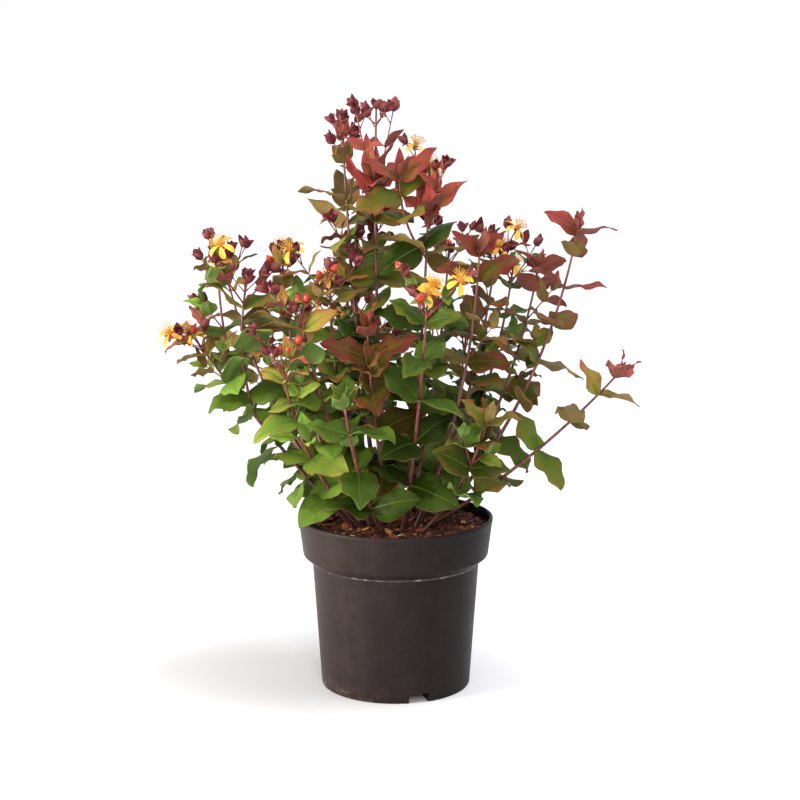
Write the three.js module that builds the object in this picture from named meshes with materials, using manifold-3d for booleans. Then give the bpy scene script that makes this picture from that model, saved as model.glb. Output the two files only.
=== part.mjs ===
// A potted st johns wort: a flowering shrub of many red stems with opposite leaves, yellow
// flowers, orange-red berries and maroon buds, growing in a round plant pot.
// Millimetres, +Z up. The origin is the centre of the pot's flat underside and -Y is the front.

import * as THREE from 'three';
import { mergeVertices } from 'three/addons/utils/BufferGeometryUtils.js';
import Module from 'manifold-3d';

const wasm = await Module();
wasm.setup();

const GAP = 0.3; // clearance between two sub-parts that touch on the real plant
const JOIN_TOLERANCE = 0.1;

// Pot
const POT_HEIGHT = 168;
const RIM_RADIUS = 95;
const COLLAR_FOOT_RADIUS = 90.5; // the collar's lower edge
const COLLAR_FOOT_HEIGHT = 131;
const BODY_TOP_RADIUS = 81.5; // where the body runs up into the collar's slanted underside
const BODY_TOP_HEIGHT = 123.5;
const FOOT_RADIUS = 73;
const WALL = 2.2;
const LIP_WALL = 3.4;
const LIP_HEIGHT = 5;
const FLOOR_THICKNESS = 13;
const EDGE_ROUNDING = 1.4;
const POT_SIDES = 48;
const NOTCH_COUNT = 3;
const NOTCH_WIDTH = 20;
const NOTCH_HEIGHT = 9;
const NOTCH_REACH = 34; // how near the axis each drain notch comes
const NOTCH_PAST_WALL = 10; // how far past the wall the cutting block runs
const FIRST_NOTCH_BEARING = -72;

// Soil
const SOIL_LEVEL = 157;
const SOIL_SIDES = 36;
const SOIL_CLEARANCE = 0.55; // from the wall's round, since the wall's flats lie inside it

// Stems
const STEM_SIDES = 6;
const TWIG_SIDES = 3;
const FOOT_STEM_RADIUS = 2.1;
const TOP_STEM_RADIUS = 0.95;
const FLARE = 0.5; // how much wider a stem is where it leaves the soil
const FLARE_HEIGHT = 9;
const STEM_DEPTH = 4; // length below the soil's level that the flat cut at the foot takes off
const STEM_STEPS = 10; // straight lengths in a whole stem

// Leaves
const NODE_SPACING = 39; // along the stem from one pair of leaves to the next
const TIP_CROWDING = 1.25; // above 1 the pairs crowd towards the tip
const OLD_LEAF_LENGTH = 54;
const YOUNG_LEAF_LENGTH = 35;
const LEAFY_TIP_LENGTH = 46; // the young leaves of a stem with no flowers
const OLD_LEAF_WIDTH = 0.66; // share of the length
const YOUNG_LEAF_WIDTH = 0.46;
const OLD_SPREAD = 78; // degrees between leaf and stem
const YOUNG_SPREAD = 58;
const LEAF_WIDEST = 0.4; // share of the length at which a leaf is widest
const KITE_FULLNESS = 1.24; // a four-cornered leaf is this much wider, to cover what a round one does
const LEAF_THICKNESS = 1.1;
const LEAF_SINK = 0.4; // how far the leaf's root reaches past the middle of its twig
const LEAF_STALK = 5; // the first stretch of a leaf, which may touch its neighbours at the node
const LEAF_THICKEST = 0.15; // share of the length at which a leaf is thickest
const LEAF_FOLD = 0.2; // rise of the margins over the midrib, for each unit of half width
const LEAF_DROOP = 0.13; // fall of the leaf's tip, for each unit of length
const LEAF_ROLL = 34; // degrees a leaf may turn about its midrib, either way
const LEAF_SHARES = [0.86, 1.1]; // the least and most of a leaf's usual length
const YOUNG_LEAF_LIFT = 0.1; // how much a leaf leans upward, or downward below zero
const OLD_LEAF_LIFT = -0.12;
const FACE_ALONG_STEM = 0.5; // a leaf's face looks along its stem, up and outward, by these weights
const FACE_UPWARD = 0.65;
const FACE_OUTWARD = 0.4;
const GROWTH_PACE = 1.6; // above 1 leaves are fully grown before the limb's foot
const OPENING_PACE = 2; // above 1 leaves are fully spread before the limb's foot
const TURN_SWAY = 0.25; // radians either way from a quarter turn between pairs
const SPREAD_SWAY = 9; // degrees either way
const LEAST_PAIRS = 3;
const FIRST_PAIR_RISE = 0.03; // share of the limb between its bare part and the first pair
const FORK_BARE = 0.12; // share of a side limb below its first leaves
const LAST_PAIR_BACK = 4; // how far below the stem's end its last leaves stand at least
const AXIL_RISE = 5; // how far above a pair of leaves its side branches leave the stem
const LEAF_TRIES = [ // the turns and sizes that a leaf tries in order
  { lift: 0, scale: 1 },
  { lift: 0.3, scale: 1 },
  { lift: -0.3, scale: 0.9 },
  { lift: 0.6, scale: 0.85 },
  { lift: 0.15, scale: 0.65 },
];
const ROSETTE_LEAVES = 8; // narrow upright leaves below a head with a long neck
const ROSETTE_LEAF_LENGTH = 52;
const ROSETTE_LEAF_WIDTH = 0.3;
const ROSETTE_SPREADS = [18, 52]; // degrees, for every other leaf
const ROSETTE_ROLL = 25;
const ROSETTE_SHARES = [0.85, 1.1];

// Flowers, berries and buds
const FLOWER_RADIUS = 13;
const FLOWER_THICKNESS = 3;
const FLOWER_RIM = 0.6; // the petal tips' and the middle's heights, in thicknesses
const FLOWER_MIDDLE = 1.6;
const FLOWER_NOTCH = 0.45; // how near the middle the gaps between petals come
const FLOWER_ALONG_STALK = 0.4; // an open flower looks four ways, by these weights
const FLOWER_NOD = 0.5; // outward, away from the pot's axis
const FLOWER_UPWARD = 0.2;
const FLOWER_SUNWARD = 0.6; // to the sunny front
const PETALS = 5;
const BERRY_LENGTH = 10;
const BERRY_RADIUS = 3.9;
const BERRY_SIDES = 4;
const BUD_LENGTH = 12;
const BUD_RADIUS = 4;
const BUD_SIDES = 3;
const BLOOM_WIDEST = 0.4; // share of its length at which a berry or bud is widest
const BLOOM_SINK = 1.5; // how far a bloom reaches back into its stalk
const PEDICEL_LENGTH = 20;
const PEDICEL_RADIUS = 0.7;
const PEDICEL_ANGLES = [34, 60]; // degrees from the limb
const PEDICEL_SHARES = [0.8, 1.25];
const PEDICEL_LIFT = 0.2;
const HEAD_DEPTH = 0.7; // how far below the end the stalks of a head start, in stalk lengths
const SIDE_BRANCH_LENGTH = 46;
const SIDE_BRANCH_SHARES = [0.75, 1.15];
const SIDE_BRANCH_RISE = 0.6; // extra length for each unit of the head's neck
const SIDE_BRANCH_ANGLE = 46;
const SIDE_BRANCH_LIFT = 0.12;
const SIDE_BRANCH_SWELL = 1.2; // how much thicker than a flower stalk its foot is
const SIDE_PAIR_AT = 0.55;
const SIDE_PAIR_SPREAD = 55;
const SIDE_LEAF_LENGTH = 25;
const SIDE_LEAF_AGE = 0.2;
const SIDE_SEED_STEP = 31;

// Where each kind of chance starts in the row of draws of one seed
const DRAWS = {
  sideLength: 1,
  firstTurn: 2,
  ringTint: 3,
  stalkTurn: 40,
  stalkAngle: 50,
  stalkLength: 60,
  pairTurn: 70,
  spread: 100,
  size: 140,
  roll: 180,
  rosetteRoll: 290,
  rosetteSize: 300,
};

// Colours
const POT_COLOUR = 0x3d3533;
const SOIL_COLOUR = 0x2c1c15;
const STEM_COLOUR = 0x7a2f35;
const GREEN_LEAF = new THREE.Color(0x5b8534);
const RED_LEAF = new THREE.Color(0x7b3540);
const FULL_TINT = 0.7; // how far towards red the reddest mass goes
const POT_ROUGHNESS = 0.45;
const SOIL_ROUGHNESS = 0.95;
const STEM_ROUGHNESS = 0.55;
const LEAF_ROUGHNESS = 0.5;

// Stems that rise from the soil. tip is the stem's end. foot is the bearing in degrees,
// anticlockwise from +X, and the distance from the pot's axis at which the stem leaves the soil.
// belly is how far the middle of the stem hangs outside the straight line. bare is the share of
// the length below the first leaves, neck the length above the last ones, tint how red the upper
// leaves are, head what ends it, and seed picks its own chances. vigour, where it is given, is
// the size of its leaves beside the usual one.
const MEASURED_SHOOTS = [
  {
    name: 'top_main', tip: [-18, -10, 560], foot: [245, 10], belly: 6, bare: 0.34,
    neck: 66, tint: 1, head: 'buds', seed: 62,
  },
  {
    name: 'top_fork', tip: [-50, 0, 534], foot: [165, 16], belly: 4, bare: 0.36,
    neck: 0, tint: 1, head: 'buds', seed: 268,
  },
  {
    name: 'top_left', tip: [-37, 22, 436], foot: [146, 27], belly: 8, bare: 0.34,
    neck: 0, tint: 1, head: 'berries', seed: 435,
  },
  {
    name: 'top_right', tip: [32, -27, 506], foot: [325, 12], belly: 4, bare: 0.32,
    neck: 30, tint: 0.85, head: 'mixed', seed: 91,
  },
  {
    name: 'front', tip: [29, -112, 396], foot: [282, 30], belly: 9, bare: 0.2,
    neck: 0, tint: 0.2, head: 'flowers', seed: 234,
  },
  {
    name: 'right_inner', tip: [78, -42, 429], foot: [318, 24], belly: 14, bare: 0.26,
    neck: 0, tint: 1.0, head: 'leaves', seed: 65, vigour: 0.88,
  },
  {
    name: 'right_cluster', tip: [97, 20, 427], foot: [12, 24], belly: 12, bare: 0.36,
    neck: 0, tint: 1, head: 'mixed', seed: 414, vigour: 0.8,
  },
  {
    name: 'right_mid', tip: [139, 32, 407], foot: [8, 40], belly: 14, bare: 0.34,
    neck: 0, tint: 0.95, head: 'leaves', seed: 232, vigour: 0.8,
  },
  {
    name: 'right_high', tip: [172, -10, 446], foot: [352, 36], belly: 22, bare: 0.3,
    neck: 0, tint: 1, head: 'leaves', seed: 51, vigour: 0.9,
  },
  {
    name: 'right_low', tip: [210, -32, 312], foot: [338, 30], belly: 9, bare: 0.34,
    neck: 0, tint: 0.9, head: 'leaves', seed: 260, vigour: 0.9,
  },
  {
    name: 'left_front', tip: [-106, -70, 337], foot: [222, 38], belly: 18, bare: 0.22,
    neck: 0, tint: 0.7, head: 'berries', seed: 78,
  },
  {
    name: 'left_low', tip: [-192, -32, 350], foot: [197, 42], belly: 4, bare: 0.24,
    neck: 0, tint: 0.95, head: 'mixed', seed: 199,
  },
  {
    name: 'left_back', tip: [-111, 46, 412], foot: [172, 34], belly: 20, bare: 0.26,
    neck: 0, tint: 0.65, head: 'mixed', seed: 282,
  },
  {
    name: 'mid_left', tip: [-62, -24, 402], foot: [196, 25], belly: 10, bare: 0.26,
    neck: 0, tint: 0.6, head: 'mixed', seed: 18,
  },
  {
    name: 'mid_front', tip: [-89, -62, 382], foot: [238, 26], belly: 12, bare: 0.24,
    neck: 0, tint: 0.9, head: 'berries', seed: 89,
  },
  {
    name: 'mid_maroon', tip: [-26, -72, 358], foot: [262, 26], belly: 6, bare: 0.28,
    neck: 0, tint: 1.0, head: 'leaves', seed: 280,
  },
  {
    name: 'low_right', tip: [84, -88, 276], foot: [306, 40], belly: 10, bare: 0.4,
    neck: 0, tint: 0.55, head: 'leaves', seed: 466, vigour: 0.85,
  },
  {
    name: 'low_left', tip: [-46, -118, 299], foot: [258, 44], belly: 12, bare: 0.24,
    neck: 0, tint: 0.2, head: 'leaves', seed: 452,
  },
];

// Side limbs that leave one of the stems above, at a share of its length.
const FORKS = [
  {
    name: 'left_maroon', on: 'left_low', at: 0.6, tip: [-139, -30, 404], belly: 12,
    neck: 0, tint: 1.0, head: 'buds', seed: 2,
  },
  {
    name: 'left_high', on: 'left_low', at: 0.66, tip: [-167, -20, 425], belly: 8,
    neck: 0, tint: 0.55, head: 'mixed', seed: 427,
  },
  {
    name: 'top_spur', on: 'top_right', at: 0.76, tip: [4, -36, 499], belly: 8,
    neck: 0, tint: 1.0, head: 'leaves', seed: 243,
  },
];

// The stems at the back, in two rings of even bearings, one stem for each seed.
const BACK_RINGS = [
  {
    name: 'back',
    from: 44,
    to: 158,
    reach: 172,
    height: 372,
    foot: 44,
    belly: 20,
    bare: 0.2,
    seeds: [229, 27, 29, 465, 4, 469, 441, 438],
  },
  {
    name: 'inner',
    from: 58,
    to: 122,
    reach: 84,
    height: 440,
    foot: 22,
    belly: 12,
    bare: 0.3,
    seeds: [52, 396],
  },
];
const RING_REACH_SWAY = 26;
const RING_HEIGHT_SWAY = 60;
const RING_HEADS = ['mixed', 'berries', 'leaves', 'buds'];

// What each kind of head bears: at the limb's own end, alone and on two stalks round it, and
// then on the two side branches below.
const END_BLOOMS = 3;
const HEAD_KINDS = {
  buds: ['bud', 'bud', 'bud', 'bud', 'bud'],
  berries: ['berry', 'bud', 'berry', 'bud', 'berry'],
  flowers: ['flower', 'berry', 'flower', 'flower', 'berry'],
  mixed: ['flower', 'bud', 'berry', 'flower', 'bud'],
};

const UP = new THREE.Vector3(0, 0, 1);
const SUNNY_SIDE = new THREE.Vector3(0, -1, 0);

// A repeatable number from 0 to 1 for each pair of whole numbers.
function draw(seed, index) {
  const value = Math.sin(seed * 12.9898 + index * 78.233) * 43758.5453;
  return value - Math.floor(value);
}

function mix(from, to, share) {
  return from + (to - from) * share;
}

function sway(seed, index, reach) {
  return (draw(seed, index) * 2 - 1) * reach;
}

function aroundAxis(bearing, distance, height) {
  const angle = THREE.MathUtils.degToRad(bearing);
  return new THREE.Vector3(distance * Math.cos(angle), distance * Math.sin(angle), height);
}

// Meshes and solids

function toSolid(geometry) {
  const bare = geometry.index ? geometry.toNonIndexed() : geometry.clone();
  bare.deleteAttribute('normal');
  bare.deleteAttribute('uv');
  const merged = mergeVertices(bare, 1e-4);
  return new wasm.Manifold(new wasm.Mesh({
    numProp: 3,
    vertProperties: new Float32Array(merged.attributes.position.array),
    triVerts: new Uint32Array(merged.index.array),
  }));
}

function solidFromFaces(points, faces) {
  return new wasm.Manifold(new wasm.Mesh({
    numProp: 3,
    vertProperties: new Float32Array(points.flatMap((point) => point.toArray())),
    triVerts: new Uint32Array(faces.flat()),
  }));
}

// Pieces joined into one solid, without the specks of surface that joining leaves.
function joined(pieces) {
  const { vertProperties, triVerts } = wasm.Manifold.union(pieces).getMesh();
  const mesh = new wasm.Mesh({ numProp: 3, vertProperties, triVerts, tolerance: JOIN_TOLERANCE });
  return new wasm.Manifold(mesh).simplify(JOIN_TOLERANCE);
}

// The largest shell of a solid. Loose scraps go, and hollows that joining has sealed are filled.
function toGeometry(solid) {
  const mesh = solid.getMesh();
  const { triVerts, vertProperties, numProp } = mesh;
  const parent = Array.from({ length: vertProperties.length / numProp }, (unused, vertex) => vertex);
  const find = (vertex) => {
    let root = vertex;
    while (parent[root] !== root) root = parent[root];
    parent[vertex] = root;
    return root;
  };
  for (let corner = 0; corner < triVerts.length; corner += 3) {
    parent[find(triVerts[corner + 1])] = find(triVerts[corner]);
    parent[find(triVerts[corner + 2])] = find(triVerts[corner]);
  }
  const at = (vertex) => new THREE.Vector3().fromArray(vertProperties, vertex * numProp);
  const volumes = new Map();
  for (let corner = 0; corner < triVerts.length; corner += 3) {
    const [a, b, c] = triVerts.slice(corner, corner + 3);
    const root = find(a);
    volumes.set(root, (volumes.get(root) ?? 0) + at(a).dot(at(b).cross(at(c))));
  }
  const [largest] = [...volumes].sort((one, two) => two[1] - one[1])[0];
  const positions = [];
  for (let corner = 0; corner < triVerts.length; corner += 3) {
    if (find(triVerts[corner]) !== largest) continue;
    for (let step = 0; step < 3; step += 1) positions.push(...at(triVerts[corner + step]));
  }
  const geometry = new THREE.BufferGeometry();
  geometry.setAttribute('position', new THREE.Float32BufferAttribute(positions, 3));
  geometry.computeVertexNormals();
  return geometry;
}

// A closed tube of straight lengths through the points, with a radius at each.
function tube(points, radii, sides) {
  const corners = [];
  const faces = [];
  let side = null;
  points.forEach((point, row) => {
    const before = points[Math.max(row - 1, 0)];
    const after = points[Math.min(row + 1, points.length - 1)];
    const along = after.clone().sub(before).normalize();
    side = side ?? new THREE.Vector3(1, 0, 0).cross(along).normalize();
    side = side.clone().addScaledVector(along, -side.dot(along)).normalize();
    const across = along.clone().cross(side);
    for (let turn = 0; turn < sides; turn += 1) {
      const angle = (turn / sides) * 2 * Math.PI;
      corners.push(point.clone()
        .addScaledVector(side, radii[row] * Math.cos(angle))
        .addScaledVector(across, radii[row] * Math.sin(angle)));
    }
  });
  for (let row = 0; row < points.length - 1; row += 1) {
    for (let turn = 0; turn < sides; turn += 1) {
      const next = (turn + 1) % sides;
      const [low, lowNext] = [row * sides + turn, row * sides + next];
      const [high, highNext] = [low + sides, lowNext + sides];
      faces.push([low, lowNext, highNext], [low, highNext, high]);
    }
  }
  const lastRow = (points.length - 1) * sides;
  for (let turn = 1; turn < sides - 1; turn += 1) {
    faces.push([0, turn + 1, turn], [lastRow, lastRow + turn, lastRow + turn + 1]);
  }
  return solidFromFaces(corners, faces);
}

// A flat double cone over a closed outline, with one point above and one below its middle.
function blade(outline, above, below) {
  const points = [...outline, above, below];
  const top = outline.length;
  const faces = [];
  outline.forEach((unused, corner) => {
    const next = (corner + 1) % outline.length;
    faces.push([corner, next, top], [next, corner, top + 1]);
  });
  return solidFromFaces(points, faces);
}

// The rule of growth

// The curve of a limb from its foot to its tip, which hangs outside the straight line.
function limbCurve(foot, tip, belly) {
  const chord = tip.clone().sub(foot);
  const level = new THREE.Vector3(chord.x, chord.y, 0);
  const reach = level.length();
  const outward = level.normalize().multiplyScalar(chord.z).addScaledVector(UP, -reach).normalize();
  const middle = foot.clone().add(tip).multiplyScalar(0.5).addScaledVector(outward, 2 * belly);
  return new THREE.QuadraticBezierCurve3(foot, middle, tip);
}

// The leaf's frame: its root on the twig, the way it points and the way its face looks.
function leafFrame(root, stemWay, turn, spread, age, roll) {
  const side = new THREE.Vector3().crossVectors(stemWay, UP).normalize();
  const over = new THREE.Vector3().crossVectors(stemWay, side);
  const away = side.multiplyScalar(Math.cos(turn)).addScaledVector(over, Math.sin(turn));
  const angle = THREE.MathUtils.degToRad(spread);
  const along = stemWay.clone().multiplyScalar(Math.cos(angle))
    .addScaledVector(away, Math.sin(angle))
    .addScaledVector(UP, mix(YOUNG_LEAF_LIFT, OLD_LEAF_LIFT, age))
    .normalize();
  const face = stemWay.clone().multiplyScalar(FACE_ALONG_STEM)
    .addScaledVector(UP, FACE_UPWARD)
    .addScaledVector(outwardAt(root), FACE_OUTWARD);
  face.addScaledVector(along, -face.dot(along)).normalize();
  face.applyAxisAngle(along, THREE.MathUtils.degToRad(roll));
  return { root, along, face };
}

// The level way from the pot's axis to a point.
function outwardAt(point) {
  return new THREE.Vector3(point.x, point.y, 0).normalize();
}

function addLeaf(plan, frame, length, width) {
  plan.leaves.push({ ...frame, length, width });
}

// A bloom on the end of its stalk. An open flower nods outward and to the sun.
function addBloom(plan, kind, root, stalkWay) {
  const along = stalkWay.clone();
  if (kind === 'flower') {
    along.multiplyScalar(FLOWER_ALONG_STALK)
      .addScaledVector(outwardAt(root), FLOWER_NOD)
      .addScaledVector(UP, FLOWER_UPWARD)
      .addScaledVector(SUNNY_SIDE, FLOWER_SUNWARD)
      .normalize();
  }
  plan.blooms.push({ kind, root, along });
}

// A cluster at a limb's end: one bloom on the limb itself and others on stalks round it.
function addHead(plan, end, way, kinds, seed) {
  const [own, ...stalked] = kinds;
  addBloom(plan, own, end, way);
  const side = new THREE.Vector3().crossVectors(way, UP).normalize();
  const over = new THREE.Vector3().crossVectors(way, side);
  const start = end.clone().addScaledVector(way, -HEAD_DEPTH * PEDICEL_LENGTH);
  stalked.forEach((kind, stalk) => {
    const turn = (stalk / stalked.length) * 2 * Math.PI + draw(seed, DRAWS.stalkTurn + stalk);
    const angle = THREE.MathUtils.degToRad(mix(...PEDICEL_ANGLES, draw(seed, DRAWS.stalkAngle + stalk)));
    const along = way.clone().multiplyScalar(Math.cos(angle))
      .addScaledVector(side, Math.sin(angle) * Math.cos(turn))
      .addScaledVector(over, Math.sin(angle) * Math.sin(turn))
      .addScaledVector(UP, PEDICEL_LIFT)
      .normalize();
    const length = PEDICEL_LENGTH * mix(...PEDICEL_SHARES, draw(seed, DRAWS.stalkLength + stalk));
    const tip = start.clone().addScaledVector(along, length);
    plan.twigs.push({ points: [start, tip], radii: [PEDICEL_RADIUS, PEDICEL_RADIUS] });
    addBloom(plan, kind, tip, along);
  });
}

// A side branch in a leaf's axil, with one pair of small leaves and a bloom on its end.
function addSideBranch(plan, root, stemWay, turn, shoot, kind, seed) {
  const frame = leafFrame(root, stemWay, turn, SIDE_BRANCH_ANGLE, 0, 0);
  const usual = SIDE_BRANCH_LENGTH * mix(...SIDE_BRANCH_SHARES, draw(seed, DRAWS.sideLength));
  const length = usual + SIDE_BRANCH_RISE * shoot.neck;
  const end = root.clone()
    .addScaledVector(frame.along, length)
    .addScaledVector(UP, SIDE_BRANCH_LIFT * length);
  const way = end.clone().sub(root).normalize();
  plan.twigs.push({ points: [root, end], radii: [PEDICEL_RADIUS * SIDE_BRANCH_SWELL, PEDICEL_RADIUS] });
  const pairRoot = root.clone().lerp(end, SIDE_PAIR_AT);
  for (const opposite of [0, Math.PI]) {
    const smallTurn = turn + Math.PI / 2 + opposite;
    const small = leafFrame(pairRoot, way, smallTurn, SIDE_PAIR_SPREAD, SIDE_LEAF_AGE, 0);
    addLeaf(plan, small, SIDE_LEAF_LENGTH, YOUNG_LEAF_WIDTH);
  }
  addHead(plan, end, way, [kind], seed);
}

// Narrow upright leaves that crowd round the foot of a long-necked head.
function addRosette(plan, root, stemWay, firstTurn, seed) {
  for (let place = 0; place < ROSETTE_LEAVES; place += 1) {
    const turn = firstTurn + (place * 2 * Math.PI) / ROSETTE_LEAVES;
    const spread = ROSETTE_SPREADS[place % 2];
    const roll = sway(seed, DRAWS.rosetteRoll + place, ROSETTE_ROLL);
    const frame = leafFrame(root, stemWay, turn, spread, 0, roll);
    const size = ROSETTE_LEAF_LENGTH * mix(...ROSETTE_SHARES, draw(seed, DRAWS.rosetteSize + place));
    addLeaf(plan, frame, size, ROSETTE_LEAF_WIDTH);
  }
}

// One limb with its pairs of leaves, each pair turned a quarter from the last.
function growLimb(plan, curve, from, shoot) {
  const { seed } = shoot;
  const steps = Math.max(LEAST_PAIRS, Math.round((curve.getLength() * (1 - from)) / NODE_SPACING));
  const stalked = shoot.head !== 'leaves';
  const firstTurn = draw(seed, DRAWS.firstTurn) * Math.PI;
  const last = 1 - shoot.neck / curve.getLength();
  const vigour = shoot.vigour ?? 1;
  for (let node = 0; node < steps + (stalked ? 0 : 1); node += 1) {
    const share = node / steps;
    const crowded = 1 - (1 - share) ** TIP_CROWDING;
    const at = mix(from + FIRST_PAIR_RISE, last, crowded);
    const root = curve.getPoint(Math.min(at, 1 - LAST_PAIR_BACK / curve.getLength()));
    const stemWay = curve.getTangent(at);
    const age = 1 - share;
    const turn = firstTurn + (node * Math.PI) / 2 + sway(seed, DRAWS.pairTurn + node, TURN_SWAY);
    const youngLength = stalked ? YOUNG_LEAF_LENGTH : LEAFY_TIP_LENGTH;
    const grown = Math.min(1, age * GROWTH_PACE);
    const opened = Math.min(1, age * OPENING_PACE);
    for (const opposite of [0, 1]) {
      const number = 2 * node + opposite;
      const ownSpread = sway(seed, DRAWS.spread + number, SPREAD_SWAY);
      const spread = mix(YOUNG_SPREAD, OLD_SPREAD, opened) + ownSpread;
      const ownSize = mix(...LEAF_SHARES, draw(seed, DRAWS.size + number));
      const size = mix(youngLength, OLD_LEAF_LENGTH, grown) * ownSize * vigour;
      const roll = sway(seed, DRAWS.roll + number, LEAF_ROLL);
      const frame = leafFrame(root, stemWay, turn + opposite * Math.PI, spread, age, roll);
      addLeaf(plan, frame, size, mix(YOUNG_LEAF_WIDTH, OLD_LEAF_WIDTH, grown));
    }
    if (stalked && node === steps - 1) addTop(plan, root, stemWay, turn, shoot);
  }
  if (!stalked) return;
  const endKinds = HEAD_KINDS[shoot.head].slice(0, END_BLOOMS);
  addHead(plan, curve.getPoint(1), curve.getTangent(1), endKinds, seed);
}

// What stands in the axils of the last pair of leaves below a head.
function addTop(plan, root, stemWay, turn, shoot) {
  const axil = root.clone().addScaledVector(stemWay, AXIL_RISE);
  HEAD_KINDS[shoot.head].slice(END_BLOOMS).forEach((kind, opposite) => {
    const branchSeed = shoot.seed + SIDE_SEED_STEP * (opposite + 1);
    addSideBranch(plan, axil, stemWay, turn + opposite * Math.PI, shoot, kind, branchSeed);
  });
  if (shoot.neck > 0) addRosette(plan, axil, stemWay, turn + Math.PI / 4, shoot.seed);
}

// The points and radii of a limb between two shares of its length.
function limbRun(curve, from, to, footRadius) {
  const steps = Math.max(2, Math.round(STEM_STEPS * (to - from)));
  const points = [];
  const radii = [];
  for (let step = 0; step <= steps; step += 1) {
    const at = mix(from, to, step / steps);
    points.push(curve.getPoint(at));
    radii.push(mix(footRadius, TOP_STEM_RADIUS, at));
  }
  return { points, radii };
}

function ringShoots() {
  return BACK_RINGS.flatMap((ring, level) => ring.seeds.map((seed, place) => {
    const bearing = mix(ring.from, ring.to, place / (ring.seeds.length - 1));
    const reach = ring.reach + sway(seed, 0, RING_REACH_SWAY);
    const height = ring.height + sway(seed, 1, RING_HEIGHT_SWAY);
    return {
      name: `${ring.name}_${place + 1}`,
      tip: aroundAxis(bearing, reach, height).toArray(),
      foot: [bearing, ring.foot],
      belly: ring.belly,
      bare: ring.bare,
      neck: 0,
      tint: draw(seed, DRAWS.ringTint),
      head: RING_HEADS[(place + level) % RING_HEADS.length],
      seed,
    };
  }));
}

// Everything that grows, as plain descriptions: a bare limb and a mass of foliage for each stem.
function growPlant() {
  return [...MEASURED_SHOOTS, ...ringShoots()].map((shoot) => {
    const foot = aroundAxis(...shoot.foot, SOIL_LEVEL + GAP);
    const curve = limbCurve(foot, new THREE.Vector3(...shoot.tip), shoot.belly);
    const plan = { twigs: [], leaves: [], blooms: [] };
    const bough = limbRun(curve, 0, shoot.bare, FOOT_STEM_RADIUS);
    const axis = limbRun(curve, shoot.bare + GAP / curve.getLength(), 1, FOOT_STEM_RADIUS);
    growLimb(plan, curve, shoot.bare, shoot);
    for (const fork of FORKS.filter((each) => each.on === shoot.name)) {
      const start = curve.getPoint(fork.at);
      const forkCurve = limbCurve(start, new THREE.Vector3(...fork.tip), fork.belly);
      plan.twigs.push(limbRun(forkCurve, 0, 1, mix(FOOT_STEM_RADIUS, TOP_STEM_RADIUS, fork.at)));
      growLimb(plan, forkCurve, FORK_BARE, fork);
    }
    return { ...shoot, bough, axis, plan };
  });
}

// The solids of what grows

// A bare limb, flared at its foot and cut flat at the soil.
function stemSolid(bough) {
  const [base, next] = bough.points;
  const way = next.clone().sub(base).normalize();
  const wide = bough.radii[0] * (1 + FLARE);
  const points = [
    base.clone().addScaledVector(way, -STEM_DEPTH),
    base,
    base.clone().addScaledVector(way, FLARE_HEIGHT),
    ...bough.points.slice(1),
  ];
  const lying = tube(points, [wide, wide, ...bough.radii], STEM_SIDES);
  return lying.trimByPlane([0, 0, 1], SOIL_LEVEL + GAP);
}

// A four-cornered leaf, folded along its midrib, whose root starts that far from its twig's middle.
function leafSolid(leaf, start) {
  const across = new THREE.Vector3().crossVectors(leaf.face, leaf.along);
  const place = (forward, sideways, up) => leaf.root.clone()
    .addScaledVector(leaf.along, forward)
    .addScaledVector(across, sideways)
    .addScaledVector(leaf.face, up);
  const halfWidth = (leaf.length * leaf.width * KITE_FULLNESS) / 2;
  const widest = leaf.length * LEAF_WIDEST;
  const rise = halfWidth * LEAF_FOLD;
  const outline = [
    place(start, 0, 0),
    place(widest, -halfWidth, rise),
    place(leaf.length, 0, -leaf.length * LEAF_DROOP),
    place(widest, halfWidth, rise),
  ];
  const thickest = leaf.length * LEAF_THICKEST;
  return blade(outline, place(thickest, 0, LEAF_THICKNESS / 2), place(thickest, 0, -LEAF_THICKNESS / 2));
}

function bloomSolid(bloom) {
  const side = new THREE.Vector3().crossVectors(bloom.along, UP).normalize();
  const over = new THREE.Vector3().crossVectors(bloom.along, side);
  const onAxis = (height) => bloom.root.clone().addScaledVector(bloom.along, height);
  const ring = (radii, height) => radii.map((radius, corner) => {
    const angle = (corner / radii.length) * 2 * Math.PI;
    return onAxis(height)
      .addScaledVector(side, radius * Math.cos(angle))
      .addScaledVector(over, radius * Math.sin(angle));
  });
  if (bloom.kind === 'flower') {
    const petal = [FLOWER_RADIUS, FLOWER_RADIUS * FLOWER_NOTCH];
    const star = ring(new Array(PETALS).fill(petal).flat(), FLOWER_THICKNESS * FLOWER_RIM);
    return blade(star, onAxis(FLOWER_THICKNESS * FLOWER_MIDDLE), onAxis(-BLOOM_SINK));
  }
  const [length, radius, sides] = bloom.kind === 'berry'
    ? [BERRY_LENGTH, BERRY_RADIUS, BERRY_SIDES]
    : [BUD_LENGTH, BUD_RADIUS, BUD_SIDES];
  const waist = ring(new Array(sides).fill(radius), length * BLOOM_WIDEST);
  return blade(waist, onAxis(length), onAxis(-BLOOM_SINK));
}

// The solids that have their place, with the sub-part each belongs to and what it is there.
const placed = [];

function boxesApart(one, two) {
  return [0, 1, 2].some((axis) => one.min[axis] > two.max[axis] + GAP
    || two.min[axis] > one.max[axis] + GAP);
}

// Whether a solid keeps its distance to every solid so far that meets the condition.
function isClear(solid, condition) {
  const box = solid.boundingBox();
  return placed.every((other) => !condition(other) || boxesApart(box, other.box)
    || other.solid.minGap(solid, 2 * GAP) > GAP);
}

function setPlace(solid, owner, kind = 'limb') {
  placed.push({ solid, owner, kind, box: solid.boundingBox() });
  return solid;
}

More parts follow.
